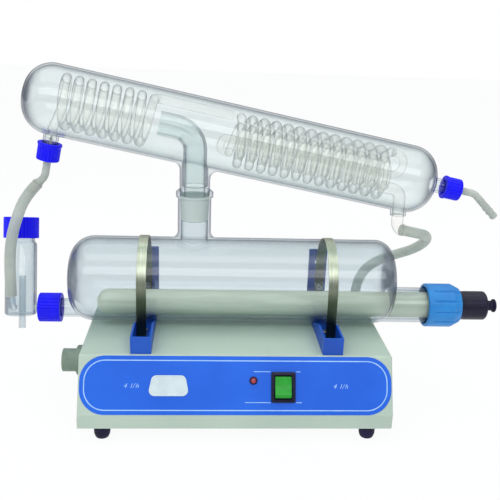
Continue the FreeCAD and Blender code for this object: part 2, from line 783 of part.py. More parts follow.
def routed(origin, steps):
    # Points of a hose's route, each counted in route units from the same place
    return [tuple(start + route_unit * step for start, step in zip(origin, steps_to)) for steps_to in steps]


def print_route(name, path, radii):
    print(name, "length %.1f, bend radii" % path.Length, ["%.0f" % value for value in radii])


def inner_hose():
    # From the valve to the foot of the hose nipple, inside the base
    left = -(base_width / 2) + sheet_wall + inlet_shank + valve_size
    end = base_top - sheet_wall - nipple_shank - nipple_tail
    points = world([(left, inlet_y, inlet_height)] + routed((left, inlet_y, inlet_height), [
        (26.0, 0.0, 0.0), (62.0, 17.0, -10.0), (104.0, 43.0, -20.0), (156.0, 55.0, -23.0), (208.0, 65.0, -24.5),
    ]) + routed((outlet_x, outlet_y, end), [
        (-46.4, -25.7, -40.1), (-23.5, -13.0, -40.1), (-12.7, -7.0, -35.0), (-4.5, -2.5, -25.6),
        (0.0, 0.0, -13.3), (0.0, 0.0, 0.0),
    ]))
    path, radii = bent_path(points)
    print_route("inner_hose", path, radii)
    keep(solid_of("inner_hose_bar", swept(path, inner_hose_radius)), "inner_hose")


def hose_nipple():
    tail = nipple_shank + nipple_tail
    body = turned("hose_nipple_form", [
        (nipple_bore, -tail), (nipple_radius, -tail), (nipple_radius, -nipple_shank),
        (nipple_shank_radius, -nipple_shank), (nipple_shank_radius, 0), (nipple_flange_radius, 0),
        (nipple_flange_radius, nipple_flange), (nipple_radius, nipple_flange),
        (nipple_radius, nipple_flange + nipple_reach), (nipple_bore, nipple_flange + nipple_reach),
    ])
    place(body, outlet_x, outlet_y, base_top)
    keep(body, "hose_nipple")


def glands():
    for name, x in (("mains", mains_gland_x), ("heater", heater_gland_x)):
        shank = -(gland_shank + sheet_wall)
        body = turned(name + "_gland_form", [
            (gland_bore, shank), (gland_shank_radius, shank), (gland_shank_radius, 0), (gland_radius, 0),
            (gland_radius, gland_collar), (gland_nose_radius, gland_collar),
            (gland_nose_radius * 0.85, gland_collar + gland_nose), (gland_bore, gland_collar + gland_nose),
        ])
        place(body, x, base_depth, gland_height, tip_axis, -90)
        keep(body, name + "_gland")
    strip = block("terminal_strip", terminal_width, terminal_depth, terminal_height)
    place(strip, terminal_x, terminal_y, foot_height + sheet_wall)
    holes = []
    for i in range(3):
        hole = cylinder("terminal_hole_%d" % i, terminal_hole, terminal_height)
        x = terminal_x + terminal_width / 2 + terminal_pitch * (i - 1)
        holes.append(place(hole, x, terminal_y + terminal_depth / 2, foot_height + sheet_wall + 8.0))
    keep(cut("terminal_cut", strip, *holes), "terminal_block")


def strap_front():
    # Front face of the strap's front leg, measured from the front of the base
    return boiler_y - boiler_radius - gap - strap_thickness


def upright_front():
    return boiler_y + boiler_radius + gap + strap_thickness


def bracket_places():
    yield "left", -bracket_x, -bracket_x + strap_left_offset
    yield "right", bracket_x, bracket_x + strap_right_offset


def bracket(side, x, strap_x):
    middle = boiler_y - bracket_front
    back = upright_front() - bracket_front
    vertex = boiler_height - base_top - (boiler_radius + gap) / cosine(cradle_slope)
    run = (bracket_wall - vertex) / tangent(cradle_slope)
    rear = vertex + (back - middle) * tangent(cradle_slope)
    body = padded("bracket_%s_form" % side, "YZ_Plane", [
        (0, 0), (back + bracket_sheet, 0), (back + bracket_sheet, upright_height), (back, upright_height),
        (back, rear), (middle, vertex), (middle - run, bracket_wall), (0, bracket_wall),
    ], bracket_width, True)
    pocketed(body, "YZ_Plane", [
        (bracket_sheet, bracket_sheet), (back, bracket_sheet), (back, upright_height),
        (bracket_sheet, upright_height),
    ], bracket_width - bracket_sheet * 2)
    place(body, x, bracket_front, base_top)
    slot = block("bracket_%s_slot" % side, strap_width + gap * 2, strap_thickness + gap * 2, 6.0)
    place(slot, strap_x - strap_width / 2 - gap, strap_front() - gap, base_top - 2.0)
    tools = [slot]
    for end, y in (("front", bracket_screw_front), ("back", bracket_screw_back)):
        hole = cylinder("bracket_%s_%s_hole" % (side, end), screw_radius + slip, 6.0)
        tools.append(place(hole, x, y, base_top - 2.0))
    eye = cylinder("bracket_%s_eye" % side, keyhole_radius, bracket_sheet * 4)
    tools.append(place(eye, x, upright_front() - bracket_sheet, base_top + keyhole_height, tip_axis, -90))
    stem = block("bracket_%s_stem" % side, keyhole_slot, bracket_sheet * 4, keyhole_length)
    place(stem, x - keyhole_slot / 2, upright_front() - bracket_sheet, base_top + keyhole_height)
    tools.append(stem)
    hole = cylinder("bracket_%s_strap_hole" % side, screw_radius + slip, bracket_sheet * 4)
    place(hole, strap_x, upright_front() - bracket_sheet, base_top + strap_screw_height, tip_axis, -90)
    tools.append(hole)
    keep(cut("bracket_%s_cut" % side, body, *tools), "bracket_" + side)


def strap(side, strap_x):
    # A half ring over the boiler with a straight leg to each side and a hooked foot under the base
    inner = boiler_radius + gap
    outer = inner + strap_thickness
    bow = primitive("Part::Cylinder", "strap_%s_bow" % side, Radius=outer, Height=strap_width, Angle=180.0)
    hollow = cylinder("strap_%s_hollow" % side, inner, strap_width)
    for thing in (bow, hollow):
        place(thing, strap_x - strap_width / 2, boiler_y, boiler_height, Vector(1, 1, 1), 120)
    left = strap_x - strap_width / 2
    foot = base_top - sheet_wall - gap - strap_thickness
    front = block("strap_%s_front" % side, strap_width, strap_thickness, boiler_height - foot)
    place(front, left, strap_front(), foot)
    hook = block("strap_%s_hook" % side, strap_width, strap_foot, strap_thickness)
    place(hook, left, strap_front(), foot)
    back = block("strap_%s_back" % side, strap_width, strap_thickness, boiler_height - base_top - strap_tail)
    place(back, left, boiler_y + inner, base_top + strap_tail)
    joined = fuse("strap_%s_joined" % side, cut("strap_%s_arch" % side, bow, hollow), front, hook, back)
    hole = cylinder("strap_%s_hole" % side, screw_radius + slip, strap_thickness * 6)
    place(hole, strap_x, upright_front() - strap_thickness * 3, base_top + strap_screw_height, tip_axis, -90)
    keep(cut("strap_%s_cut" % side, joined, hole), "strap_" + side)


def bracket_fasteners():
    screws = []
    reach = bracket_sheet + sheet_wall + nut_height + 1.0
    for side, x, strap_x in bracket_places():
        for end, y in (("front", bracket_screw_front), ("back", bracket_screw_back)):
            screw = turned("bracket_%s_%s_screw" % (side, end), [
                (0, 0), (screw_head_radius, 0), (screw_head_radius, screw_head_height),
                (0, screw_head_height),
            ])
            place(screw, x, y, base_top + bracket_sheet)
            shaft = cylinder("bracket_%s_%s_shaft" % (side, end), screw_radius, reach)
            place(shaft, x, y, base_top + bracket_sheet - reach)
            screws.append(fuse("bracket_%s_%s_whole" % (side, end), screw, shaft))
    keep(fuse("bracket_screw_group", *screws), "bracket_screws")
    bolts = []
    for side, x, strap_x in bracket_places():
        long = strap_thickness + bracket_sheet + nut_height
        head = turned("strap_%s_bolt" % side, [
            (0, -(screw_head_height / 2)), (screw_head_radius, -(screw_head_height / 2)),
            (screw_head_radius, 0), (screw_radius, 0), (screw_radius, long), (0, long),
        ])
        y = upright_front() - strap_thickness
        bolts.append(place(head, strap_x, y, base_top + strap_screw_height, tip_axis, -90))
    keep(fuse("strap_screw_group", *bolts), "strap_screws")


def rounded_neck(name, joined, test, radius):
    # Rounds the seam where a glass neck leaves its vessel
    doc.recompute()
    fillet = doc.addObject("Part::Fillet", name)
    fillet.Base = joined
    chosen = [i + 1 for i, edge in enumerate(joined.Shape.Edges) if test(edge)]
    fillet.Edges = [(index, number(radius), number(radius)) for index in chosen]
    return fillet


def near_neck(x, low, high):
    # Edges of the seam around an upright neck at x
    middle = number(base_x) + number(x)

    def test(edge):
        box = edge.BoundBox
        return (abs(box.Center.x - middle) < 12 and box.XLength > 20 and box.YLength > 15
                and number(low) < box.Center.z < number(high) and box.ZLength > 0.5)
    return test


def boiler():
    lying = (side_axis, 90)
    outer = capsule("boiler_outer", boiler_radius, boiler_left, boiler_right, boiler_left_round,
                    boiler_right_round)
    inner = capsule("boiler_inner", boiler_radius - glass_wall, boiler_left + glass_wall,
                    boiler_right - glass_wall, boiler_left_round - glass_wall,
                    boiler_right_round - glass_wall)
    for thing in (outer, inner):
        place(thing, 0.0, boiler_y, boiler_height, *lying)
    stack = turned("boiler_stack", [
        (0, boiler_height), (socket_radius, boiler_height), (socket_radius, cone_top_height - bead_height),
        (bead_radius, cone_top_height - bead_height + 2.0), (bead_radius, cone_top_height - 2.0),
        (bead_radius - 2.0, cone_top_height), (0, cone_top_height),
    ])
    place(stack, neck_x, boiler_y)
    upper = rounded_neck("boiler_flare", fuse("boiler_with_stack", outer, stack),
                         near_neck(neck_x, boiler_height, boiler_height + boiler_radius), neck_flare)
    feed = cylinder("boiler_feed_neck", feed_neck_radius, boiler_left + boiler_left_round - feed_neck_end)
    place(feed, feed_neck_end, boiler_y, feed_height, *lying)
    start = boiler_right - boiler_right_round
    heater_form = turned("boiler_heater_neck", [
        (0, start), (heater_neck_radius, start), (heater_neck_radius, heater_nut_start + 2.0),
        (heater_thread_radius, heater_nut_start + 3.5), (heater_thread_radius, heater_neck_end),
        (0, heater_neck_end),
    ])
    place(heater_form, 0.0, boiler_y, heater_height, *lying)
    bore = cone("boiler_socket_bore", cone_foot_radius + slip, cone_top_radius + slip,
                cone_top_height - cone_foot_height)
    place(bore, neck_x, boiler_y, cone_foot_height)
    well = cylinder("boiler_neck_bore", cone_foot_radius + slip, cone_foot_height - boiler_height)
    place(well, neck_x, boiler_y, boiler_height)
    feed_bore = cylinder("boiler_feed_bore", feed_neck_bore, boiler_left + boiler_left_round - feed_neck_end + 2.0)
    place(feed_bore, feed_neck_end - 1.0, boiler_y, feed_height, *lying)
    heater_bore = cylinder("boiler_heater_bore", heater_neck_bore, heater_neck_end - start + 2.0)
    place(heater_bore, start - 1.0, boiler_y, heater_height, *lying)
    whole = fuse("boiler_whole", upper, feed, heater_form)
    keep(cut("boiler_cut", whole, fuse("boiler_room", inner, bore, well, feed_bore, heater_bore)),
         "boiler_vessel")


def ribbed_cap(name, radius, length, hole, thread_radius, ribs, rim=None):
    # A screw cap about Z, open at its foot, with a hole in its top and ribs around its side
    points = [
        (thread_radius, 0), (radius, 0), (radius, length - 1.2), (radius - 1.2, length), (hole, length),
        (hole, length - cap_top_wall), (thread_radius, length - cap_top_wall),
    ]
    if rim is not None:
        points[1:2] = [(rim[0], 0), (rim[0], rim[1]), (radius, rim[1])]
    body = turned(name + "_form", points)
    low = rim[1] + 0.8 if rim is not None else cap_top_wall
    sketch = outline(body, name + "_flute_outline", "XY_Plane", [
        (radius - cap_rib_depth, -0.55), (radius + 1.0, -0.55), (radius + 1.0, 0.55),
        (radius - cap_rib_depth, 0.55),
    ])
    pocket = body.newObject("PartDesign::Pocket", name + "_flute")
    pocket.Profile = sketch
    sketch.AttachmentOffset = FreeCAD.Placement(Vector(0, 0, number(low)), FreeCAD.Rotation())
    bind(pocket, "Length", length - low + 1.0)
    pocket.Reversed = True
    doc.recompute()
    pattern = body.newObject("PartDesign::PolarPattern", name + "_flutes")
    pattern.Originals = [pocket]
    pattern.Axis = (next(f for f in body.Origin.OriginFeatures if f.Role == "Z_Axis"), [""])
    pattern.Angle = 360
    pattern.Occurrences = ribs
    body.Tip = pattern
    return body


def feed_cap():
    length = feed_cap_open - feed_cap_shut
    cap = ribbed_cap("boiler_cap", feed_cap_radius, length, arm_radius + gap, feed_neck_radius + gap, 26)
    place(cap, feed_cap_open, boiler_y, feed_height, side_axis, -90)
    keep(cap, "boiler_cap")
    end = feed_cap_shut + cap_top_wall
    seal = ring("boiler_cap_seal_form", feed_neck_radius, arm_radius, 0, feed_neck_end - end)
    place(seal, end, boiler_y, feed_height, side_axis, 90)
    keep(seal, "boiler_cap_seal")


def heater():
    lying = (side_axis, 90)
    face = heater_neck_end + heater_seal_thickness
    tail = heater_nut_end - 6.0
    outer = capsule("heater_outer", heater_radius, heater_tip, tail, heater_radius * 0.92, 0.5)
    flange = cylinder("heater_flange_disc", heater_flange_radius, heater_flange)
    inner = capsule("heater_hollow", heater_radius - heater_wall, heater_tip + heater_wall, tail + 2.0,
                    heater_radius * 0.8, 0.5)
    place(outer, 0.0, boiler_y, heater_height, *lying)
    place(inner, 0.0, boiler_y, heater_height, *lying)
    place(flange, face, boiler_y, heater_height, *lying)
    keep(cut("heater_sheath_cut", fuse("heater_sheath_whole", outer, flange), inner), "heater_sheath")
    seal = ring("heater_seal_form", heater_flange_radius, heater_radius + gap, 0, heater_seal_thickness)
    place(seal, heater_neck_end, boiler_y, heater_height, *lying)
    keep(seal, "heater_seal")
    core_start = heater_tip + heater_wall + 12.0
    core = ring("heater_core_form", core_radius, 2.0, 0, tail + 12.0 - core_start)
    washers = [place(core, core_start, boiler_y, heater_height, *lying)]
    for i in range(5):
        washer = cylinder("heater_washer_%d" % i, heater_radius - heater_wall - gap, 3.0)
        washers.append(place(washer, core_start + 20.0 + (tail - core_start - 40.0) * (i / 4.0), boiler_y,
                             heater_height, *lying))
    keep(fuse("heater_core_whole", *washers), "heater_core")
    heater_nut(face)
    heater_cap()


def heater_nut(face):
    length = heater_nut_end - heater_nut_start
    shoulder = face + heater_flange - heater_nut_start + gap
    hole = heater_radius + gap
    body = turned("heater_nut_form", [
        (heater_thread_radius + gap, 0), (heater_nut_radius - 1.0, 0), (heater_nut_radius, 2.0),
        (heater_nut_radius, length - heater_nut_chamfer * 2),
        (heater_nut_radius - heater_nut_chamfer * 0.8, length), (hole, length), (hole, shoulder),
        (heater_thread_radius + gap, shoulder),
    ])
    pocket = body.newObject("PartDesign::Pocket", "heater_nut_flute")
    pocket.Profile = outline(body, "heater_nut_flute_outline", "XY_Plane", [
        (heater_nut_radius - 1.4, -1.6), (heater_nut_radius + 1.0, -1.6), (heater_nut_radius + 1.0, 1.6),
        (heater_nut_radius - 1.4, 1.6),
    ])
    pocket.Profile[0].AttachmentOffset = FreeCAD.Placement(Vector(0, 0, 8), FreeCAD.Rotation())
    bind(pocket, "Length", length)
    pocket.Reversed = True
    doc.recompute()
    pattern = body.newObject("PartDesign::PolarPattern", "heater_nut_flutes")
    pattern.Originals = [pocket]
    pattern.Axis = (next(f for f in body.Origin.OriginFeatures if f.Role == "Z_Axis"), [""])
    pattern.Angle = 360
    pattern.Occurrences = 14
    body.Tip = pattern
    place(body, heater_nut_start, boiler_y, heater_height, side_axis, 90)
    keep(body, "heater_nut")


def heater_cap():
    start = heater_nut_end + gap
    length = heater_cap_end - start
    room = heater_cap_radius - heater_cap_wall
    body = turned("heater_cap_form", [
        (heater_cap_radius - 1.0, 0), (heater_cap_radius, 1.0),
        (heater_cap_radius, length - 3.0), (heater_cap_radius - 3.0, length), (boot_radius + slip, length),
        (boot_radius + slip, length - heater_cap_wall), (room - 3.0, length - heater_cap_wall),
        (room, length - heater_cap_wall - 3.0), (room, 3.0), (heater_radius - heater_wall, 3.0),
        (heater_radius - heater_wall, 0),
    ])
    place(body, start, boiler_y, heater_height, side_axis, 90)
    keep(body, "heater_cap")
    reach = boot_end - heater_cap_end
    boot = turned("cable_boot_form", [
        (boot_bore, -(heater_cap_wall + 2.0)), (boot_end_radius, -(heater_cap_wall + 2.0)),
        (boot_end_radius, -heater_cap_wall), (boot_radius, -heater_cap_wall), (boot_radius, reach - 3.0),
        (boot_end_radius, reach - 1.5), (boot_end_radius - 0.6, reach), (boot_bore, reach),
    ])
    place(boot, heater_cap_end, boiler_y, heater_height, side_axis, 90)
    keep(boot, "cable_boot")


def condenser_spot(run, drop):
    # X and Z of a point in the condenser: distance along its axis and distance below the axis
    x = neck_x + cosine(tilt) * run - sine(tilt) * drop
    z = condenser_height - sine(tilt) * run - cosine(tilt) * drop
    return x, z


def in_condenser(thing, run=0.0, drop=0.0):
    x, z = condenser_spot(run, drop)
    return place(thing, x, boiler_y, z, side_axis, 90.0 + tilt)


def down_from_condenser(thing, run, drop):
    # Z of the thing points away from the axis, downwards
    x, z = condenser_spot(run, drop)
    return place(thing, x, boiler_y, z, side_axis, 180.0 + tilt)


def condenser_jacket():
    outer = in_condenser(capsule("jacket_outer", condenser_radius, condenser_left, condenser_right,
                                 condenser_round, condenser_round))
    inner = in_condenser(capsule("jacket_inner", condenser_radius - condenser_wall,
                                 condenser_left + condenser_wall, condenser_right - condenser_wall,
                                 condenser_round - condenser_wall, condenser_round - condenser_wall))
    stack = turned("jacket_stack", [
        (0, cone_foot_height + slip * 5), (cone_foot_radius, cone_foot_height + slip * 5),
        (cone_top_radius, cone_top_height + slip * 5), (cone_top_radius, condenser_height), (0, condenser_height),
    ])
    place(stack, neck_x, boiler_y)
    upper = rounded_neck("jacket_flare", fuse("jacket_with_stack", outer, stack),
                         near_neck(neck_x, cone_top_height, condenser_height), neck_flare)
    drop = outlet_cap_start + port_neck_inset
    outlet = down_from_condenser(cylinder("jacket_outlet_neck", port_neck_radius, drop), outlet_neck, 0.0)
    start = condenser_right - condenser_round
    reach = product_cap_start + port_neck_inset
    product = in_condenser(cylinder("jacket_product_neck", port_neck_radius, reach - start), start)
    boss = cylinder("jacket_port_boss", port_boss_radius, 30.0)
    place(boss, port_x, boiler_y, port_boss_foot)
    whole = fuse("jacket_whole", upper, outlet, product, boss)
    wide = cylinder("jacket_neck_room", steam_neck_room, condenser_height - steam_seat)
    place(wide, neck_x, boiler_y, steam_seat)
    narrow = cylinder("jacket_neck_bore", steam_neck_bore, steam_seat - cone_foot_height + 2.0)
    place(narrow, neck_x, boiler_y, cone_foot_height - 1.0)
    outlet_bore = down_from_condenser(cylinder("jacket_outlet_bore", port_neck_bore, drop + 1.0),
                                      outlet_neck, 0.0)
    product_bore = in_condenser(cylinder("jacket_product_bore", port_neck_bore, reach - start + 1.0), start)
    port_bore = cylinder("jacket_port_bore", port_tube_radius, 40.0)
    place(port_bore, port_x, boiler_y, port_boss_foot - 1.0)
    room = fuse("jacket_room", inner, wide, narrow, outlet_bore, product_bore, port_bore)
    keep(cut("jacket_cut", whole, room), "condenser_jacket")


def steam_elbow():
    x = number(base_x + neck_x)
    y = number(base_y + boiler_y)
    end_x, end_z = condenser_spot(elbow_end, 0.0)
    points = [
        (x, y, number(steam_seat)), (x, y, number(condenser_height)),
        (number(base_x + end_x), y, number(end_z)),
    ]
    outer = bent_bar(points, elbow_radius, [elbow_bend])
    inner = bent_bar(points, elbow_radius - elbow_wall, [elbow_bend])
    keep(solid_of("steam_elbow_tube", outer.cut(inner)), "steam_elbow")


def coil(name, radius, tube, start, end, turns, angle):
    # A helix about the condenser's axis, swept with a round section; it starts at an angle from below
    pitch = number(end - start) / number(turns)
    helix = Part.Wire(Part.makeHelix(pitch, number(end - start), number(radius)).Edges)
    circle = Part.Wire([Part.Circle(Vector(number(radius), 0, 0), Vector(0, 1, 0), number(tube)).toShape()])
    for wire in (helix, circle):
        wire.rotate(Vector(0, 0, 0), Vector(0, 0, 1), angle)
    thing = solid_of(name + "_form", helix.makePipeShell([circle], True, True))
    x, z = condenser_spot(start, 0.0)
    keep(place(thing, x, boiler_y, z, side_axis, 90.0 + tilt), name)
    return thing


def condenser_tube(name, points, radius, bends, coils, beads):
    # A bent tube from (run, drop) points in the condenser, with a bead of glass where it joins a coil
    places = []
    for run, drop in points:
        x, z = condenser_spot(run, drop)
        places.append((x, boiler_y, z))
    places = world(places)
    shape = bent_bar(places, radius, bends)
    joints = [Part.makeSphere(number(bead), Vector(*places[end])) for end, bead in beads]
    shape = shape.fuse(joints).cut([thing.Shape for thing in coils])
    keep(solid_of(name + "_bar", max(shape.Solids, key=lambda solid: solid.Volume)), name)


def coils():
    left = coil("left_coil", coil_radius, coil_tube, outlet_neck, left_coil_end, left_coil_turns, 0.0)
    outer = coil("right_outer_coil", coil_radius, coil_tube, right_coil_start, right_coil_end,
                 right_coil_turns, 180.0)
    inner = coil("right_inner_coil", inner_coil_radius, inner_coil_tube, inner_coil_start, right_coil_end,
                 right_coil_turns, 0.0)
    doc.recompute()
    bead = coil_tube * 1.2
    condenser_tube("link_tube", [
        (left_coil_end, -coil_radius), (right_coil_start, -coil_radius),
    ], coil_tube, None, [left, outer], [(0, bead), (-1, bead)])
    condenser_tube("return_tube", [
        (right_coil_end, -coil_radius), (return_bend, -coil_radius), (return_bend, 0.0),
        (hairpin_end, 0.0), (hairpin_end, inner_coil_radius), (inner_coil_start, inner_coil_radius),
    ], inner_coil_tube, [return_bend_radius, return_bend_radius, hairpin_radius, hairpin_radius],
        [outer, inner], [(0, bead), (-1, bead)])
    condenser_tube("coolant_outlet_tube", [
        (outlet_neck, coil_radius), (outlet_neck, outlet_cap_start),
    ], coil_tube, None, [left], [(0, bead)])
    coolant_inlet_tube(inner)


def coolant_inlet_tube(inner_coil):
    # From the inner coil down through the jacket's wall and out to the hose
    x, z = condenser_spot(right_coil_end, inner_coil_radius)
    corner_z = z - (port_x - x) * tangent(tilt)
    points = world([(x, boiler_y, z), (port_x, boiler_y, corner_z), (port_x, boiler_y, port_boss_foot)])
    inside = bent_bar(points, port_tube_radius, [port_bend_radius])
    bead = Part.makeSphere(number(port_tube_radius), Vector(*points[0]))
    hose = [Vector(*point) for point in right_hose_points()[:2]]
    heading = (hose[1] - hose[0]).normalize()
    corner = hose[0] - heading * ((hose[0].x - points[2][0]) / heading.x)
    outside = bent_bar([points[2], tuple(corner), tuple(hose[0])], port_tube_radius, [port_bend_radius])
    barb = Part.makeCylinder(number(nipple_radius), number(nipple_reach), hose[0], heading)
    whole = inside.fuse([bead, outside, barb]).cut(inner_coil.Shape).removeSplitter()
    keep(solid_of("coolant_inlet_bar", whole), "coolant_inlet_tube")


def spout(name, leg, cap_length):
    # The bent outlet that a screw cap holds: flange in the cap, straight stub, bend and barbed leg
    angle = math.radians(number(spout_bend))
    start = number(cap_length) - number(cap_top_wall) - number(spout_flange)
    knee = number(cap_length) + number(spout_straight)
    heading = Vector(math.sin(angle), 0, math.cos(angle))
    tip = Vector(0, 0, knee) + heading * number(leg)
    points = [(0.0, 0.0, start), (0.0, 0.0, knee), tuple(tip)]
    outer = bent_bar(points, spout_radius, [spout_bend_radius])
    inner = bent_bar([(0.0, 0.0, start - 1.0), (0.0, 0.0, knee), tuple(tip + heading)], spout_bore,
                     [spout_bend_radius])
    parts = [Part.makeCylinder(number(spout_flange_radius), number(spout_flange), Vector(0, 0, start))]
    for i in range(3):
        foot = tip - heading * (number(barb_pitch) * (i + 1) - 2.0)
        parts.append(Part.makeCone(number(barb_radius), number(spout_radius) - 0.2, number(barb_pitch) * 0.6,
                                   foot, heading))
    return solid_of(name + "_form", outer.fuse(parts).cut(inner).removeSplitter())


def port_caps():
    for name, label, start, leg in (
            ("outlet", "left_port", outlet_cap_start, outlet_leg),
            ("product", "product", product_cap_start, product_leg)):
        cap = ribbed_cap(label + "_cap", port_cap_radius, port_cap_length, spout_radius + gap,
                         port_neck_radius + gap, 20, (port_rim_radius, port_rim))
        seal = ring(label + "_seal_form", spout_flange_radius, spout_bore, port_neck_inset,
                    port_cap_length - cap_top_wall - spout_flange)
        tube = spout(label + "_spout", leg, port_cap_length)
        for thing in (cap, seal, tube):
            if name == "outlet":
                down_from_condenser(thing, outlet_neck, start)
            else:
                in_condenser(thing, start)
        keep(cap, label + "_cap")
        keep(seal, label + "_seal")
        keep(tube, label + "_spout")


def leaning(thing, up=0.0):
    # Places a thing on the level vessel's own axis
    y = boiler_y + sine(level_lean) * up
    z = feed_height + cosine(level_lean) * up
    return place(thing, level_x, y, z, tip_axis, -level_lean)


def level_vessel():
    foot = -level_foot
    outer = turned("level_outer", [
        (0, foot), (level_radius, foot), (level_radius, level_shoulder),
        (level_neck_radius, level_shoulder + 4.0), (level_neck_radius, level_neck_top), (0, level_neck_top),
    ])
    round_edges(outer, lambda edge: on_circle(edge, level_radius, foot), level_wall * 2)
    inner = turned("level_inner", [
        (0, foot + level_wall), (level_radius - level_wall, foot + level_wall),
        (level_radius - level_wall, level_shoulder), (level_neck_radius - level_wall, level_shoulder + 4.0),
        (level_neck_radius - level_wall, level_neck_top + 1.0), (0, level_neck_top + 1.0),
    ])
    arm = cylinder("level_arm", arm_radius, arm_end - level_x)
    arm_hole = cylinder("level_arm_bore", arm_bore, arm_end - level_x + 1.0)
    for thing in (arm, arm_hole):
        place(thing, level_x, boiler_y, feed_height, side_axis, 90)
    leaning(outer)
    leaning(inner)
    route = world([
        (hose_foot_x, hose_foot_y, hose_foot_height + nipple_reach),
        (hose_foot_x, hose_foot_y, feed_height + 5.0), (level_x, boiler_y, feed_height + 5.0),
    ])
    tube = solid_of("level_nipple_bar", bent_bar(route, nipple_radius, [level_nipple_bend]))
    tube_bore = solid_of("level_nipple_hole", bent_bar(
        [(route[0][0], route[0][1], route[0][2] + 1.0)] + route[1:], nipple_bore, [level_nipple_bend]))
    pipe_foot = foot - overflow_drop
    pipe = cylinder("level_standpipe", standpipe_radius, standpipe_top - pipe_foot)
    pipe_bore = cylinder("level_standpipe_bore", standpipe_bore, standpipe_top - pipe_foot + 2.0)
    for thing, low in ((pipe, pipe_foot), (pipe_bore, pipe_foot - 1.0)):
        y = boiler_y + sine(level_lean) * low + cosine(level_lean) * standpipe_y
        z = feed_height + cosine(level_lean) * low - sine(level_lean) * standpipe_y
        place(thing, level_x, y, z, tip_axis, -level_lean)
    shell = cut("level_shell", fuse("level_whole", outer, arm, tube), fuse("level_room", inner, arm_hole, tube_bore))
    keep(cut("level_cut", fuse("level_with_pipe", shell, pipe), pipe_bore), "level_vessel")
    length = level_cap_end - level_cap_start
    cap = ribbed_cap("level_cap", level_cap_radius, length, 3.0, level_neck_radius + gap, 32)
    keep(leaning(cap, level_cap_start), "level_cap")
    liner = cylinder("level_cap_liner_form", level_neck_radius, liner_thickness)
    keep(leaning(liner, level_neck_top), "level_cap_liner")


def left_hose_points():
    # From the bent spout at the left of the condenser down to the level vessel's nipple
    knee_x, knee_z = condenser_spot(outlet_neck, outlet_cap_start + port_cap_length + spout_straight)
    slant = spout_bend + tilt
    start = outlet_leg - nipple_reach + 1.0
    heading = []
    for reach in (start, start + 21.0):
        heading.append((knee_x - sine(slant) * reach, boiler_y, knee_z - cosine(slant) * reach))
    return world(heading + routed((hose_foot_x, hose_foot_y, hose_foot_height), [
        (6.0, 13.5, 83.0), (1.5, 4.0, 59.0), (0.0, 0.0, 29.0), (0.0, 0.0, 0.0),
    ]))


def right_hose_points():
    # From the condenser's coolant port round behind the boiler down to the nipple on the base
    start = (port_end_x, boiler_y + port_end_back, port_end_height)
    end = (outlet_x, outlet_y, base_top + nipple_flange + gap)
    return world([start] + routed(start, [
        (20.9, 4.9, -5.2), (38.5, 20.6, -12.2), (44.5, 43.9, -27.2), (36.0, 66.5, -44.2), (16.9, 79.3, -55.2),
    ]) + routed(end, [(27.5, 11.5, 51.7), (9.5, 5.0, 40.2), (0.0, 0.0, 20.2), (0.0, 0.0, 0.0)]))


def hose(name, points, start_radius):
    # A hose with a plain bore at each end for the connector it is pushed on
    path, radii = bent_path(points)
    bar = swept(path, hose_radius)
    print_route(name, path, radii)
    ends = [bar_end(points, nipple_reach, start_radius + gap, True),
            bar_end(points, nipple_reach, nipple_radius + gap, False)]
    keep(solid_of(name + "_bar", bar.cut(ends)), name)


def finish():
    doc.recompute()
    faults = [thing.Label for thing in doc.Objects if "Invalid" in thing.State or "Error" in thing.State]
    for thing in nodes:
        if thing.Shape.isNull() or not thing.Shape.isValid() or not thing.Shape.Solids:
            faults.append(thing.Label)
    if faults:
        raise RuntimeError("not built: %s" % ", ".join(faults))
    os.makedirs("parts", exist_ok=True)
    for thing in nodes:
        thing.Shape.exportStep("parts/%s.step" % thing.Label)
    print("%d sub-parts written" % len(nodes))


casing()
base_bottom()
front_label()
badge_plate()
lamp()
switch()
rocker()
water_inlet()
inner_hose()
hose_nipple()
glands()
for side, x, strap_x in bracket_places():
    bracket(side, x, strap_x)
    strap(side, strap_x)
bracket_fasteners()
boiler()
feed_cap()
heater()
condenser_jacket()
steam_elbow()
coils()
port_caps()
level_vessel()
hose("left_hose", left_hose_points(), barb_radius)
hose("right_hose", right_hose_points(), nipple_radius)
finish()
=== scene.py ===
import math

import bmesh
import bpy
import numpy as np
from mathutils import Matrix


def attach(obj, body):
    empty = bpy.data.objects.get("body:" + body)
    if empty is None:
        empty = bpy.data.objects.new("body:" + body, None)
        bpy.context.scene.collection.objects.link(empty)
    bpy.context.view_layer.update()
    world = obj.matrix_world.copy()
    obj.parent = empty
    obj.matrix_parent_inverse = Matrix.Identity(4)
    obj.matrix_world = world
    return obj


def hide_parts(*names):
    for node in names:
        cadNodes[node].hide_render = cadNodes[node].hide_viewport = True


# Bench water still: a glass boiler on a steel base, a tilted glass condenser above it, and a level vessel
# at its side. Sizes are millimetres in the base's own coordinates: x from the middle of the base to the
# right, y from its front to the back, z up from the table.

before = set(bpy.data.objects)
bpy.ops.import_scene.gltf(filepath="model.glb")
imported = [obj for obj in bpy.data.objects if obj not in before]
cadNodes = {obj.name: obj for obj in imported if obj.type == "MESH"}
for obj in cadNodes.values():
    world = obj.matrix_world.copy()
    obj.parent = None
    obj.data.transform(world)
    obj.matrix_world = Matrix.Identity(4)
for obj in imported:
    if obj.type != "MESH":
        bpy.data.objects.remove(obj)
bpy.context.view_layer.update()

still = {
    "baseMiddleX": -22.5, "baseFrontY": -106.5, "axisY": 118.0, "boilerAxis": 144.6, "feedAxis": 107.0,
    "heaterAxis": 115.1, "neckX": -49.5, "condenserAxis": 317.6, "condenserTilt": 11.2, "panelLean": 23.8,
    "panelFoot": 31.5, "baseTop": 90.0, "levelX": -251.0, "levelLean": 15.5, "tapY": 75.0, "tapHeight": 60.0,
    "outletX": 158.5, "outletY": 187.0,
}
acrossX = np.array([1.0, 0.0, 0.0])
backY = np.array([0.0, 1.0, 0.0])
upZ = np.array([0.0, 0.0, 1.0])
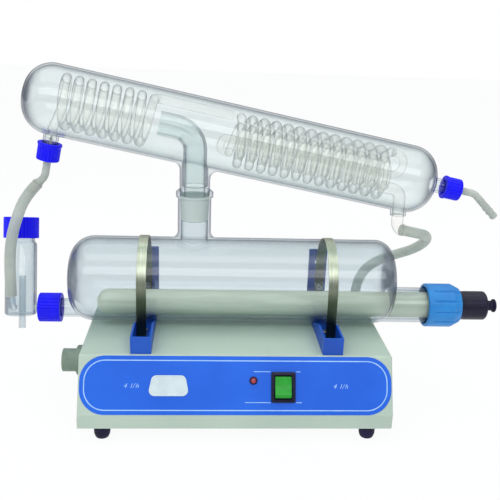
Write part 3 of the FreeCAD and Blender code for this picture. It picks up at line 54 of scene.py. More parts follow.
tilt = math.radians(still["condenserTilt"])
condenserAlong = np.array([math.cos(tilt), 0.0, -math.sin(tilt)])
condenserDown = np.array([-math.sin(tilt), 0.0, -math.cos(tilt)])
condenserMiddle = np.array([still["neckX"], still["axisY"], still["condenserAxis"]])
lean = math.radians(still["panelLean"])
panelUp = np.array([0.0, math.sin(lean), math.cos(lean)])
panelOut = np.array([0.0, -math.cos(lean), math.sin(lean)])
panelMiddle = np.array([0.0, 0.0, still["panelFoot"]])
levelTilt = math.radians(still["levelLean"])
levelUp = np.array([0.0, math.sin(levelTilt), math.cos(levelTilt)])
levelMiddle = np.array([still["levelX"], still["axisY"], still["feedAxis"]])


def metres(points):
    # Base coordinates in millimetres to the part's frame in metres
    return (np.asarray(points, float) + [still["baseMiddleX"], still["baseFrontY"], 0.0]) * 0.001


def inAxes(origin, axes, shares):
    # Origin + each share along its own axis
    shares = np.broadcast_arrays(*[np.asarray(share, float)[..., None] for share in shares])
    for share, axis in zip(shares, axes):
        origin = origin + share * axis
    return origin


def inCondenser(run, drop, back=0.0):
    # Condenser middle + run along its axis + drop away from it downwards + back behind it
    return inAxes(condenserMiddle, (condenserAlong, condenserDown, backY), (run, drop, back))


def onPanel(across, up, out):
    # Front panel's foot + across along x + up the slope + out of it
    return inAxes(panelMiddle, (acrossX, panelUp, panelOut), (across, up, out))


def unit(vectors):
    return vectors / np.linalg.norm(vectors, axis=-1, keepdims=True)


def headings(path):
    return unit(np.gradient(path, axis=0))


def travelledAlong(path):
    steps = np.linalg.norm(np.diff(path, axis=0), axis=1)
    return np.concatenate([[0], np.cumsum(steps)])


def ramp(value, start, width):
    # 0 up to the start, then evenly up to 1 over the width
    return np.clip((value - start) / width, 0, 1)


def rounded(corners, bends, steps=8, closed=False):
    # Each corner becomes an arc tangent to both its sides: centre + bend * (cosine, sine) across the corner
    corners = [np.asarray(corner, float) for corner in corners]
    count = len(corners)
    parts = []
    for i, bend in enumerate(bends):
        corner = corners[i]
        if bend <= 0 or (not closed and i in (0, count - 1)):
            parts.append(corner[None])
            continue
        come = unit(corner - corners[i - 1])
        leave = unit(corners[(i + 1) % count] - corner)
        half = math.acos(np.clip(come @ leave, -1, 1)) / 2
        start = corner - come * bend * math.tan(half)
        inward = unit(leave - come)
        side = unit(inward - (inward @ come) * come)
        turn = np.linspace(0, 2 * half, steps + 1)[:, None]
        parts.append(start + bend * np.sin(turn) * come + bend * (1 - np.cos(turn)) * side)
    return np.concatenate(parts)


def evenly(path, spacing):
    # Extra points between the given ones, so that no run is longer than the spacing
    travelled = travelledAlong(path)
    even = np.linspace(0, travelled[-1], int(travelled[-1] / spacing) + 2)
    wanted = np.unique(np.concatenate([travelled, even]))
    wanted = wanted[np.concatenate([[True], np.diff(wanted) > 1e-4])]
    return np.stack([np.interp(wanted, travelled, path[:, k]) for k in range(path.shape[1])], axis=1)


def profiled(corners, steps, spacing=None, closed=True):
    # Corners of (radius, height, bend), each rounded by its bend; a closed profile ends on its first point
    corners = np.array(corners, float)
    profile = rounded(corners[:, :2], corners[:, 2], steps, closed)
    if closed:
        profile = np.concatenate([profile, profile[:1]])
    return evenly(profile, spacing) if spacing else profile


def turnedGrid(profile, columns, origin, axis, swell=None):
    # Profile rows of (radius, height) turned about the axis: radius * (cosine, sine) + height * axis
    profile = np.asarray(profile, float)
    axis = unit(np.asarray(axis, float))
    start = upZ if abs(axis @ backY) > 0.9 else backY
    side = unit(start - (start @ axis) * axis)
    angle = np.linspace(0, 2 * math.pi, columns, endpoint=False)[None, :]
    radius = np.repeat(profile[:, :1], columns, axis=1)
    if swell is not None:
        radius = radius + swell(angle, profile[:, :1], profile[:, 1:2])
    around = np.cos(angle)[..., None] * side + np.sin(angle)[..., None] * np.cross(axis, side)
    return np.asarray(origin, float) + radius[..., None] * around + profile[:, None, 1:2] * axis


def tubeGrid(path, radius, columns, towards):
    # Path point + radius * (cosine, sine) across the path, the cosine side turned towards a given direction
    heading = headings(path)
    towards = np.broadcast_to(towards, path.shape)
    side = unit(towards - np.sum(towards * heading, axis=1)[:, None] * heading)
    other = np.cross(heading, side)
    angle = np.linspace(0, 2 * math.pi, columns, endpoint=False)[None, :, None]
    radius = np.broadcast_to(radius, len(path))[:, None, None]
    return path[:, None] + radius * (np.cos(angle) * side[:, None] + np.sin(angle) * other[:, None])


def poled(grid):
    # The first and last rows are drawn together to their own middles, which closes both ends
    first, last = [np.broadcast_to(row.mean(axis=0), row.shape)[None] for row in (grid[0], grid[-1])]
    return np.concatenate([first, grid, last])


def pipeGrid(path, outer, inner, columns, towards):
    # The outside of a pipe followed by its inside in the other direction, which close at both mouths
    outside = tubeGrid(path, outer, columns, towards)
    inside = tubeGrid(path, inner, columns, towards)
    return np.concatenate([outside, inside[::-1], outside[:1]])


def smooth(mesh, crease):
    # Joins doubled points, turns the faces outwards and shades smooth up to the crease angle
    shape = bmesh.new()
    shape.from_mesh(mesh)
    bmesh.ops.remove_doubles(shape, verts=shape.verts, dist=2e-6)
    bmesh.ops.dissolve_degenerate(shape, edges=shape.edges, dist=1e-7)
    bmesh.ops.recalc_face_normals(shape, faces=shape.faces)
    limit = math.radians(crease)
    for face in shape.faces:
        face.smooth = True
    for edge in shape.edges:
        edge.smooth = len(edge.link_faces) == 2 and edge.calc_face_angle(0.0) < limit
    shape.to_mesh(mesh)
    shape.free()
    mesh.update()


def picked(shape, names):
    return [shape[name] for name in names.split()]


def linked(name, data):
    thing = bpy.data.objects.new(name, data)
    bpy.context.scene.collection.objects.link(thing)
    return thing


def finishedPiece(name, mesh, finish, body, nodes, crease):
    # A smoothed mesh as a piece that rides on its body and stands for its nodes
    smooth(mesh, crease)
    mesh.materials.clear()
    mesh.materials.append(finishes[finish])
    piece = linked(name, mesh)
    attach(piece, body)
    if nodes:
        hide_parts(*nodes)


def gridPiece(name, grids, finish, body, nodes=(), crease=38):
    # Every cell of each grid becomes a four-sided face; the columns close around
    points = []
    faces = []
    start = 0
    for grid in grids:
        rows, columns = grid.shape[:2]
        index = start + np.arange(rows * columns).reshape(rows, columns)
        index = np.concatenate([index, index[:, :1]], axis=1)
        cells = [index[:-1, :-1], index[:-1, 1:], index[1:, 1:], index[1:, :-1]]
        faces.append(np.stack(cells, axis=-1).reshape(-1, 4))
        points.append(grid.reshape(-1, 3))
        start += rows * columns
    mesh = bpy.data.meshes.new(name)
    mesh.from_pydata(metres(np.concatenate(points)).tolist(), [], np.concatenate(faces).tolist())
    finishedPiece(name, mesh, finish, body, nodes, crease)


# Finishes

white = (1.0, 1.0, 1.0, 1.0)
plainLook = {"metal": 0.0, "coat": 0.0, "cloudStretch": None, "grainStretch": None}
colourKeys = ("colour", "tone", "edge", "low", "clear", "clearTone", "rim", "endRim", "milk")


def screenColour(seen):
    # A colour as seen on a screen, from 0 to 255, as linear light
    seen = np.array(seen) / 255
    return (*np.where(seen <= 0.04045, seen / 12.92, ((seen + 0.055) / 1.055) ** 2.4).tolist(), 1.0)


def addNode(tree, kind, inputs=None, output=0, **settings):
    # Each input is linked if it comes from a node, or else set; one of the node's outputs comes back
    node = tree.nodes.new("ShaderNode" + kind)
    for key, value in settings.items():
        setattr(node, key, value)
    for key, value in (inputs or {}).items():
        if isinstance(value, bpy.types.NodeSocket):
            tree.links.new(value, node.inputs[key])
        else:
            node.inputs[key].default_value = value
    return node.outputs[output] if node.outputs else None


def maths(tree, operation, *values):
    return addNode(tree, "Math", dict(enumerate(values)), operation=operation)


def spread(tree, value, low, high, toLow=0.0, toHigh=1.0):
    # Maps a range of values smoothly onto another
    return addNode(tree, "MapRange", {
        "Value": value, "From Min": low, "From Max": high, "To Min": toLow, "To Max": toHigh,
    }, interpolation_type="SMOOTHSTEP")


def blended(tree, share, first, second):
    return addNode(tree, "Mix", {0: share, 6: first, 7: second}, 2, data_type="RGBA")


def noise(tree, place, scale, detail, stretch=None):
    if stretch is not None:
        place = addNode(tree, "Mapping", {"Vector": place, "Scale": stretch})
    return addNode(tree, "TexNoise", {"Vector": place, "Scale": scale, "Detail": detail}, "Fac")


def newFinish(name, surface, look):
    # A material whose surface is built from a look, its colours turned into linear light
    made = bpy.data.materials.new(name)
    made.use_nodes = True
    tree = made.node_tree
    tree.nodes.clear()
    look = {key: screenColour(value) if key in colourKeys else value for key, value in look.items()}
    addNode(tree, "OutputMaterial", {"Surface": surface(tree, look)})
    return made


def clouded(tree, look):
    # Two close colours in clouds, grain in the gloss and the surface, painted highlights on the rounded edges
    # in patches, and painted shade towards the bottom for looks that have a low colour
    look = {**plainLook, **look}
    place = addNode(tree, "TexCoord", output="Object")
    cloud = noise(tree, place, look["clouds"], 4.0, look["cloudStretch"])
    grain = noise(tree, place, look["grains"], 3.0, look["grainStretch"])
    colour = blended(tree, spread(tree, cloud, 0.35, 0.65), look["colour"], look["tone"])
    # Painted highlight: a lighter colour in patches along rounded edges, where the bevelled normal turns from
    # the face's own
    if "edge" in look:
        soft = addNode(tree, "Bevel", {"Radius": look["edgeWidth"]}, samples=4)
        flat = addNode(tree, "NewGeometry", output="Normal")
        match = addNode(tree, "VectorMath", {0: soft, 1: flat}, "Value", operation="DOT_PRODUCT")
        paintedEdgeHighlight = maths(tree, "MULTIPLY", spread(tree, match, 0.995, 0.85), spread(tree, cloud, 0.40, 0.62))
        colour = blended(tree, paintedEdgeHighlight, colour, look["edge"])
    # Painted shade: below the given heights the colour turns to the low colour, darker towards the bottom
    if "low" in look:
        height = addNode(tree, "SeparateXYZ", {"Vector": place}, "Z")
        colour = blended(tree, spread(tree, height, look["lowFrom"], look["lowTo"]), colour, look["low"])
    bump = addNode(tree, "Bump", {"Height": grain, "Strength": look["bump"], "Distance": look["depth"]})
    shader = addNode(tree, "BsdfPrincipled", {
        "Base Color": colour, "Roughness": spread(tree, grain, 0.3, 0.7, *look["rough"]), "Normal": bump,
        "Metallic": look["metal"], "Specular IOR Level": look["gloss"], "Coat Weight": look["coat"],
        "Coat Roughness": 0.08,
    })
    return colour, shader


def solidSurface(tree, look):
    return clouded(tree, look)[1]


def softSurface(tree, look):
    # A milky plastic that lets some light and some of what is behind it through
    colour, body = clouded(tree, look)
    facing = addNode(tree, "LayerWeight", {"Blend": 0.5}, "Facing")
    glow = addNode(tree, "BsdfTranslucent", {"Color": colour})
    milk = addNode(tree, "MixShader", {0: look["glow"], 1: body, 2: glow})
    clear = addNode(tree, "BsdfTransparent", {"Color": look["clear"]})
    share = maths(tree, "MULTIPLY", spread(tree, facing, 0.35, 0.95, 1.0, 0.1), look["open"])
    return addNode(tree, "MixShader", {0: share, 1: milk, 2: clear})


def groundShare(tree, place, look):
    # The ground joint is frosted between two heights and two distances from the upright neck's axis
    across, back, height = addNode(tree, "SeparateXYZ", {"Vector": place}).node.outputs
    middle = metres([still["neckX"], still["axisY"], 0.0])
    fromX = maths(tree, "SUBTRACT", across, float(middle[0]))
    fromY = maths(tree, "SUBTRACT", back, float(middle[1]))
    squares = [maths(tree, "MULTIPLY", away, away) for away in (fromX, fromY)]
    distance = maths(tree, "SQRT", maths(tree, "ADD", *squares))
    above = spread(tree, height, look["groundFrom"], look["groundFrom"] + look["groundFade"])
    below = spread(tree, height, look["groundTo"], look["groundTo"] - look["groundFade"])
    outside = maths(tree, "GREATER_THAN", distance, look["groundInner"])
    inside = maths(tree, "LESS_THAN", distance, look["groundOuter"])
    band = maths(tree, "MULTIPLY", above, below)
    ring = maths(tree, "MULTIPLY", outside, inside)
    return maths(tree, "MULTIPLY", maths(tree, "MULTIPLY", band, ring), look["groundHaze"])


def glassSurface(tree, look):
    # Clear across the wall and darker where it is seen edge-on, most so on the rounded ends
    place = addNode(tree, "TexCoord", output="Object")
    normal = addNode(tree, "TexCoord", output="Normal")
    facing = addNode(tree, "LayerWeight", {"Blend": 0.5}, "Facing")
    sideways = addNode(tree, "SeparateXYZ", {"Vector": normal}, "X")
    atEnds = spread(tree, maths(tree, "ABSOLUTE", sideways), look["endsFrom"], look["endsFull"])
    streak = noise(tree, place, 1.0, 3.0, look["streaks"])
    edge = maths(tree, "POWER", facing, look["rimPower"])
    endEdge = maths(tree, "MULTIPLY", maths(tree, "POWER", facing, look["endPower"]), atEnds)
    tint = blended(tree, streak, look["clear"], look["clearTone"])
    tint = blended(tree, endEdge, blended(tree, edge, tint, look["rim"]), look["endRim"])
    through = addNode(tree, "BsdfTransparent", {"Color": tint})
    haze = maths(tree, "MULTIPLY", spread(tree, streak, 0.3, 0.7, 0.55, 1.25), look["haze"])
    if "groundFrom" in look:
        haze = maths(tree, "MAXIMUM", haze, groundShare(tree, place, look))
    milky = addNode(tree, "BsdfDiffuse", {"Color": look["milk"]})
    body = addNode(tree, "MixShader", {0: haze, 1: through, 2: milky})
    ripple = addNode(tree, "Bump", {"Height": streak, "Strength": look["ripple"], "Distance": 0.0004})
    shine = addNode(tree, "BsdfGlossy", {
        "Color": white, "Roughness": spread(tree, streak, 0.3, 0.7, 0.02, 0.07), "Normal": ripple,
    })
    mirrored = maths(tree, "MULTIPLY_ADD", maths(tree, "POWER", facing, 5.0), look["shine"], 0.035)
    return addNode(tree, "MixShader", {0: mirrored, 1: body, 2: shine})


lookKeys = ("colour", "tone", "clouds", "grains", "rough", "bump", "depth", "gloss")
solidLooks = {
    "greyGreenPaint": ((184, 203, 190), (177, 196, 184), 9.0, 900.0, (0.42, 0.58), 0.1, 0.0002, 0.4),
    "darkRubber": ((20, 16, 58), (14, 11, 44), 60.0, 700.0, (0.55, 0.8), 0.25, 0.0002, 0.3),
    "blackPlastic": ((18, 17, 50), (12, 11, 38), 45.0, 800.0, (0.28, 0.45), 0.12, 0.0002, 0.3),
    "greyPlastic": ((126, 144, 130), (112, 130, 118), 50.0, 700.0, (0.4, 0.6), 0.15, 0.0002, 0.4),
    "blueLabelFilm": ((26, 102, 224), (22, 94, 216), 14.0, 1400.0, (0.38, 0.52), 0.12, 0.0001, 0.35),
    "paleLabelPrint": ((168, 208, 250), (152, 196, 246), 90.0, 1200.0, (0.4, 0.55), 0.05, 0.0001, 0.35),
    "whiteBadge": ((208, 224, 230), (198, 215, 223), 60.0, 1100.0, (0.25, 0.4), 0.06, 0.0001, 0.5),
    "blueBracketPaint": ((14, 84, 192), (10, 74, 178), 22.0, 1000.0, (0.38, 0.55), 0.12, 0.0002, 0.4),
    "brushedStrapSteel": ((196, 204, 186), (176, 186, 166), 1.0, 1.0, (0.26, 0.42), 0.06, 0.0001, 0.5),
    "zincFasteners": ((176, 180, 184), (148, 152, 158), 160.0, 900.0, (0.25, 0.42), 0.1, 0.0001, 0.5),
    "deepBlueCaps": ((8, 3, 250), (5, 2, 240), 70.0, 900.0, (0.34, 0.5), 0.08, 0.0002, 0.25),
    "lightBlueNut": ((34, 138, 216), (28, 126, 204), 50.0, 800.0, (0.34, 0.5), 0.1, 0.0002, 0.45),
    "greenRocker": ((14, 156, 34), (10, 144, 28), 120.0, 1000.0, (0.3, 0.45), 0.08, 0.0001, 0.35),
    "redLampLens": ((176, 24, 28), (120, 8, 18), 400.0, 900.0, (0.08, 0.2), 0.1, 0.0001, 0.6),
    "whiteSeals": ((222, 224, 220), (208, 212, 206), 80.0, 600.0, (0.45, 0.65), 0.15, 0.0002, 0.3),
    "fusedQuartzSheath": ((224, 230, 208), (208, 216, 192), 1.0, 1.0, (0.28, 0.5), 0.25, 0.0002, 0.5),
}
vesselLook = {
    "clear": (245, 248, 249), "clearTone": (240, 244, 246), "rim": (138, 152, 164), "endRim": (10, 6, 92),
    "rimPower": 3.6, "endPower": 2.6, "endsFrom": 0.62, "endsFull": 0.97, "streaks": (5.0, 60.0, 60.0),
    "haze": 0.012, "milk": (222, 232, 226), "ripple": 0.15, "shine": 0.75, "groundFrom": 0.2168,
    "groundTo": 0.2462, "groundFade": 0.0012, "groundInner": 0.0152, "groundOuter": 0.0183, "groundHaze": 0.8,
}
glassLooks = {
    "vesselGlass": vesselLook,
    "condenserGlass": {**vesselLook, "clear": (250, 252, 252), "clearTone": (246, 249, 249)},
    "coilGlass": {
        "clear": (255, 255, 254), "clearTone": (253, 253, 252), "rim": (158, 170, 172),
        "endRim": (120, 132, 140), "rimPower": 4.0, "endPower": 3.6, "endsFrom": 0.5, "endsFull": 0.98,
        "streaks": (160.0, 160.0, 160.0), "haze": 0.045, "milk": (255, 253, 246), "ripple": 0.3, "shine": 1.0,
    },
}
softLooks = {
    "milkyHose": ((210, 217, 210), (198, 206, 200), 40.0, 420.0, (0.3, 0.5), 0.12, 0.0003, 0.45),
    "milkySpouts": ((214, 221, 214), (203, 211, 205), 60.0, 500.0, (0.25, 0.45), 0.1, 0.0003, 0.45),
}
extraLooks = {
    # The edge colours are painted highlights on the rounded edges
    "greyGreenPaint": {"edge": (205, 219, 209), "edgeWidth": 0.0008},
    "blueBracketPaint": {"edge": (70, 128, 214), "edgeWidth": 0.0006},
    # The strap's low colour is painted shade, darker towards its bottom
    "brushedStrapSteel": {"cloudStretch": (900.0, 22.0, 22.0), "grainStretch": (2600.0, 60.0, 60.0),
                          "metal": 1.0, "low": (66, 80, 62), "lowTo": 0.132, "lowFrom": 0.176},
    "zincFasteners": {"metal": 1.0},
    # The nut's edge colour is a painted highlight on its lobes' edges
    "lightBlueNut": {"edge": (108, 184, 240), "edgeWidth": 0.0007},
    "greenRocker": {"coat": 0.1},
    "redLampLens": {"coat": 0.8},
    "fusedQuartzSheath": {"cloudStretch": (14.0, 120.0, 120.0), "grainStretch": (60.0, 900.0, 900.0),
                          "coat": 0.25},
    "milkyHose": {"glow": 0.35, "open": 0.25, "clear": (240, 245, 243)},
    "milkySpouts": {"glow": 0.3, "open": 0.12, "clear": (242, 246, 244)},
}
finishes = {}  # Named by their materials; a row of values is a look in the order of the keys
for surface, looks in ((solidSurface, solidLooks), (glassSurface, glassLooks), (softSurface, softLooks)):
    for name, look in looks.items():
        if isinstance(look, tuple):
            look = {**dict(zip(lookKeys, look)), **extraLooks.get(name, {})}
        finishes[name] = newFinish(name, surface, look)
print("finishes:", len(finishes))

# Camera

cameraView = {
    "place": (-0.06255, -0.80598, 0.43512), "lens": 53.016, "right": (0.99777, -0.05715, 0.03440),
    "up": (-0.01586, 0.29773, 0.95452), "back": (-0.06480, -0.95294, 0.29616),
}


def stand(thing, place, right, up, back):
    # Puts a thing at its place with its own three directions
    directions = Matrix(np.array([right, up, back]).T.tolist())
    thing.matrix_world = Matrix.Translation(place) @ directions.to_4x4()


def addCamera(view):
    lens = bpy.data.cameras.new("photographCamera")
    lens.lens = view["lens"]
    lens.sensor_width = 36.0
    lens.clip_start = 0.01
    camera = linked("photographCamera", lens)
    stand(camera, view["place"], view["right"], view["up"], view["back"])
    bpy.context.scene.camera = camera


addCamera(cameraView)

# Ports: their screw caps and the bent spouts in them

capRibs = {"depth": 0.8, "top": 1.2, "wall": 2.0, "perRib": 8, "spacing": 1.2}
portCap = {"length": 19.5, "radius": 12.6, "rimRadius": 13.4, "rim": 3.0, "thread": 8.8, "hole": 4.5,
           "ribs": 20}
ports = {"outletRun": -152.5, "outletDrop": 47.5, "productRun": 290.8}
outletPort = inCondenser(ports["outletRun"], ports["outletDrop"])
productPort = inCondenser(ports["productRun"], 0.0)
spoutShape = {
    "bend": 34.0, "bendRadius": 14.0, "radius": 4.2, "bore": 3.0, "straight": 19.0, "leftLeg": 25.0,
    "productLeg": 39.0, "flangeRadius": 8.4, "flange": 1.6, "barb": 4.9, "barbPitch": 6.5, "barbs": 3,
    "cone": 0.62, "reach": 15.0,
}

# Hoses, each a smooth spline with the points of its route

def leftHoseRoute(shape):
    # Off the barbs of the bent spout, past the vessel's cap and down to the vessel's side nipple
    knee = outletPort + (portCap["length"] + shape["straight"]) * condenserDown
    slant = math.radians(shape["bend"]) + tilt
    start = shape["leftLeg"] - shape["reach"] + 1.0
    heading = np.array([-math.sin(slant), 0.0, -math.cos(slant)])
    return [knee + heading * start, knee + heading * (start + 21.0), (-249.5, 111.0, 212.0),
            (-254.0, 101.5, 188.0), (-255.5, 97.5, 158.0), (-255.5, 97.5, 129.0)]


hoseShapes = {
    "left": {"body": "condenser", "radius": 6.2, "length": 137.0, "route": leftHoseRoute(spoutShape)},
    "right": {"body": "condenser", "radius": 6.2, "length": 215.9, "route": [
        (192.0, 119.4, 208.2), (212.9, 124.3, 203.0), (230.5, 140.0, 196.0), (236.5, 163.3, 181.0),
        (228.0, 185.9, 164.0), (208.9, 198.7, 153.0), (186.0, 198.5, 144.5), (168.0, 192.0, 133.0),
        (158.5, 187.0, 113.0), (158.5, 187.0, 92.8),
    ]},
    "inner": {"body": "base", "radius": 6.0, "length": 342.3, "route": [
        (-130.8, 75.0, 60.0), (-104.8, 75.0, 60.0), (-68.8, 92.0, 50.0), (-26.8, 118.0, 40.0),
        (25.2, 130.0, 37.0), (77.2, 140.0, 35.5), (112.1, 161.3, 31.7), (135.0, 174.0, 31.7),
        (145.8, 180.0, 36.8), (154.0, 184.5, 46.2), (158.5, 187.0, 58.5), (158.5, 187.0, 71.8),
    ]},
}


def addHose(side, shape):
    line = bpy.data.curves.new(side + "Hose", "CURVE")
    line.dimensions = "3D"
    spline = line.splines.new("NURBS")
    points = metres(shape["route"])
    spline.points.add(len(points) - 1)
    spline.points.foreach_set("co", np.concatenate([points, np.ones((len(points), 1))], axis=1).ravel())
    spline.order_u = 3
    spline.use_endpoint_u = True
    line.resolution_u = 10
    line.bevel_depth = shape["radius"] * 0.001
    line.bevel_resolution = 6
    line.use_fill_caps = True
    line.materials.append(finishes["milkyHose"])
    hose = linked(side + "Hose", line)
    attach(hose, shape["body"])
    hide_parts(side + "_hose")


for side, shape in hoseShapes.items():
    addHose(side, shape)
print("camera and hoses")

# Glass vessels, whose CAD forms are kept, with their necks and welds

cadGlass = {
    "boilerGlass": ("boiler_vessel", "vesselGlass", "base"),
    "condenserGlass": ("condenser_jacket", "condenserGlass", "condenser"),
    "levelVesselGlass": ("level_vessel", "vesselGlass", "base"),
    "coolantPortGlass": ("coolant_inlet_tube", "coilGlass", "condenser"),
}
for name, (node, finish, body) in cadGlass.items():
    finishedPiece(name, cadNodes[node].data.copy(), finish, body, [node], 32)

steamTube = {"seat": 256.0, "radius": 13.2, "wall": 1.8, "bend": 26.0, "endRun": -40.5, "columns": 40}


def addSteamTube(shape):
    # Straight up from the ground joint, then bent to lie along the condenser's axis
    foot = np.array([still["neckX"], still["axisY"], shape["seat"]])
    path = rounded([foot, condenserMiddle, inCondenser(shape["endRun"], 0.0)], [0, shape["bend"], 0], 20)
    inner = shape["radius"] - shape["wall"]
    grid = pipeGrid(evenly(path, 2.0), shape["radius"], inner, shape["columns"], backY)
    gridPiece("steamTube", [grid], "condenserGlass", "condenser", ["steam_elbow"])


addSteamTube(steamTube)

coilShape = {
    "tube": 5.2, "innerTube": 4.4, "radius": 25.5, "innerRadius": 15.4, "leftEnd": -50.5, "leftTurns": 7.5,
    "rightStart": 46.0, "rightEnd": 222.4, "rightTurns": 13, "innerStart": 41.0, "returnRun": 238.0,
    "hairpinRun": 30.5, "outletDrop": 60.0, "stepsPerTurn": 44, "columns": 14, "returnBend": 12.0,
    "hairpinBend": 5.6, "lead": 9.0, "pull": 14.4,
}


def helixPath(radius, start, end, turns, firstAngle, steps):
    # Condenser axis + radius * (cosine below, sine behind), moving evenly along the axis as it turns
    turn = np.linspace(0, turns * 2 * math.pi, int(turns * steps) + 1)
    run = start + (end - start) * turn / turn[-1]
    return inCondenser(run, radius * np.cos(turn + firstAngle), radius * np.sin(turn + firstAngle))


def joined(before, after, pull):
    # A cubic between two paths: it leaves the first and meets the second in their own directions
    leave = unit(before[-1] - before[-2]) * pull
    meet = unit(after[1] - after[0]) * pull
    step = np.linspace(0, 1, 14)[1:-1, None]
    return ((2 * step**3 - 3 * step**2 + 1) * before[-1] + (step**3 - 2 * step**2 + step) * leave
            + (3 * step**2 - 2 * step**3) * after[0] + (step**3 - step**2) * meet)


def addCoil(name, parts, radius, nodes, shape):
    path = [parts[0]]
    for part in parts[1:]:
        path += [joined(path[-1], part, shape["pull"]), part]
    path = np.concatenate(path)
    outward = path - condenserMiddle
    outward = outward - (outward @ condenserAlong)[:, None] * condenserAlong
    outward = outward / np.maximum(np.linalg.norm(outward, axis=1), 1e-6)[:, None]
    along = np.abs(headings(path) @ condenserAlong)[:, None]
    tube = tubeGrid(path, radius, shape["columns"], outward + along * 1e-3 * backY)
    gridPiece(name, [poled(tube)], "coilGlass", "condenser", nodes)


def addCoils(shape):
    steps = shape["stepsPerTurn"]
    cut = steps // 9
    lead, radius, end = shape["lead"], shape["radius"], shape["rightEnd"]
    left = helixPath(radius, ports["outletRun"], shape["leftEnd"], shape["leftTurns"], 0.0, steps)
    outer = helixPath(radius, shape["rightStart"], end, shape["rightTurns"], math.pi, steps)
    inner = helixPath(shape["innerRadius"], shape["innerStart"], end, shape["rightTurns"], 0.0, steps)
    outlet = evenly(inCondenser([ports["outletRun"]] * 2, [shape["outletDrop"], radius + lead]), 3.0)
    link = evenly(inCondenser([shape["leftEnd"] + lead, shape["rightStart"] - lead], [-radius] * 2), 3.0)
    addCoil("coolingCoilLeft", [outlet, left[cut:-cut], link], shape["tube"],
            ["left_coil", "link_tube", "coolant_outlet_tube"], shape)
    addCoil("coolingCoilOuter", [outer], shape["tube"], ["right_outer_coil"], shape)
    runs = [end, shape["returnRun"], shape["returnRun"], shape["hairpinRun"], shape["hairpinRun"],
            shape["innerStart"]]
    drops = [-radius, -radius, 0.0, 0.0, shape["innerRadius"], shape["innerRadius"]]
    back, hairpin = shape["returnBend"], shape["hairpinBend"]
    returning = evenly(rounded(inCondenser(runs, drops), [0, back, back, hairpin, hairpin, 0], 10), 4.0)
    tube = tubeGrid(returning, shape["innerTube"], shape["columns"], backY)
    gridPiece("coolingReturnTube", [poled(tube)], "coilGlass", "condenser", ["return_tube"])
    addCoil("coolingCoilInner", [inner], shape["innerTube"], ["right_inner_coil"], shape)


addCoils(coilShape)
print("glass")

# Screw caps with ribbed sides

feedCap = {"length": 25.5, "radius": 17.0, "thread": 11.3, "hole": 5.8, "ribs": 26, "open": -203.5}
levelCap = {"length": 24.4, "radius": 20.0, "thread": 15.8, "hole": 3.0, "ribs": 32, "start": 80.6}


def ribbedCap(name, node, body, shape, origin, axis):
    # Radius less a rounded groove between ribs: depth * (1 - |sine of half the ribs' angle|) squared
    length, radius, thread, hole = picked(shape, "length radius thread hole")
    low = shape.get("rim", 0.0)
    rimRadius = shape.get("rimRadius", radius)
    crown = length - capRibs["wall"]
    corners = [(thread, 0, 0.3), (rimRadius, 0, 0.5)]
    if low:
        corners += [(rimRadius, low, 0.6), (radius, low, 0.3)]
    corners += [(radius, length, capRibs["top"]), (hole, length, 0.3), (hole, crown, 0.3),
                (thread, crown, 0.3)]

    def ribs(angle, ring, height):
        wave = 1 - np.abs(np.sin(angle * shape["ribs"] / 2))
        inRange = ramp(height, low + 0.6, 0.8) * ramp(-height, 0.2 - length, 0.9)
        return -capRibs["depth"] * wave**2 * ramp(ring, radius - 1.3, 0.5) * inRange

    profile = profiled(corners, 4, capRibs["spacing"])
    grid = turnedGrid(profile, shape["ribs"] * capRibs["perRib"], origin, axis, ribs)
    gridPiece(name, [grid], "deepBlueCaps", body, [node], 50)


levelNeck = levelMiddle + levelUp * levelCap["start"]
feedNeck = (feedCap["open"], still["axisY"], still["feedAxis"])
ribbedCap("levelVesselCap", "level_cap", "vessel_cap", levelCap, levelNeck, levelUp)
ribbedCap("boilerFeedCap", "boiler_cap", "feed_cap", feedCap, feedNeck, -acrossX)
ribbedCap("coolantOutletCap", "left_port_cap", "coolant_cap", portCap, outletPort, condenserDown)
ribbedCap("productOutletCap", "product_cap", "outlet_cap", portCap, productPort, condenserAlong)
print("caps")


def addSpout(name, node, body, origin, axis, leg):
    # A bent pipe whose outside steps out in short cones near its end, with a flange at its root
    shape = spoutShape
    bend = math.radians(shape["bend"])
    leave = math.cos(bend) * axis + math.sin(bend) * np.cross(backY, axis)
    start = origin + axis * (portCap["length"] - capRibs["wall"] - shape["flange"])
    knee = origin + axis * (portCap["length"] + shape["straight"])
    path = evenly(rounded([start, knee, knee + leave * leg], [0, shape["bendRadius"], 0], 16), 0.7)
    travelled = travelledAlong(path)
    fromTip = travelled[-1] - travelled
    step = np.mod(fromTip, shape["barbPitch"]) / shape["barbPitch"]
    onBarbs = (fromTip < shape["barbPitch"] * shape["barbs"]) & (step < shape["cone"])
    rise = (shape["barb"] - shape["radius"]) * step / shape["cone"]
    outer = shape["radius"] + np.where(onBarbs, rise, 0.0)
    outer = np.where(travelled < shape["flange"], shape["flangeRadius"], outer)
    outer[-1] = shape["radius"] - 0.5
    grid = pipeGrid(path, outer, shape["bore"], 32, backY)
    gridPiece(name, [grid], "milkySpouts", body, [node], 30)


addSpout("coolantOutletSpout", "left_port_spout", "condenser", outletPort, condenserDown,
         spoutShape["leftLeg"])
addSpout("productSpout", "product_spout", "outlet_spout", productPort, condenserAlong,
         spoutShape["productLeg"])

# Heater

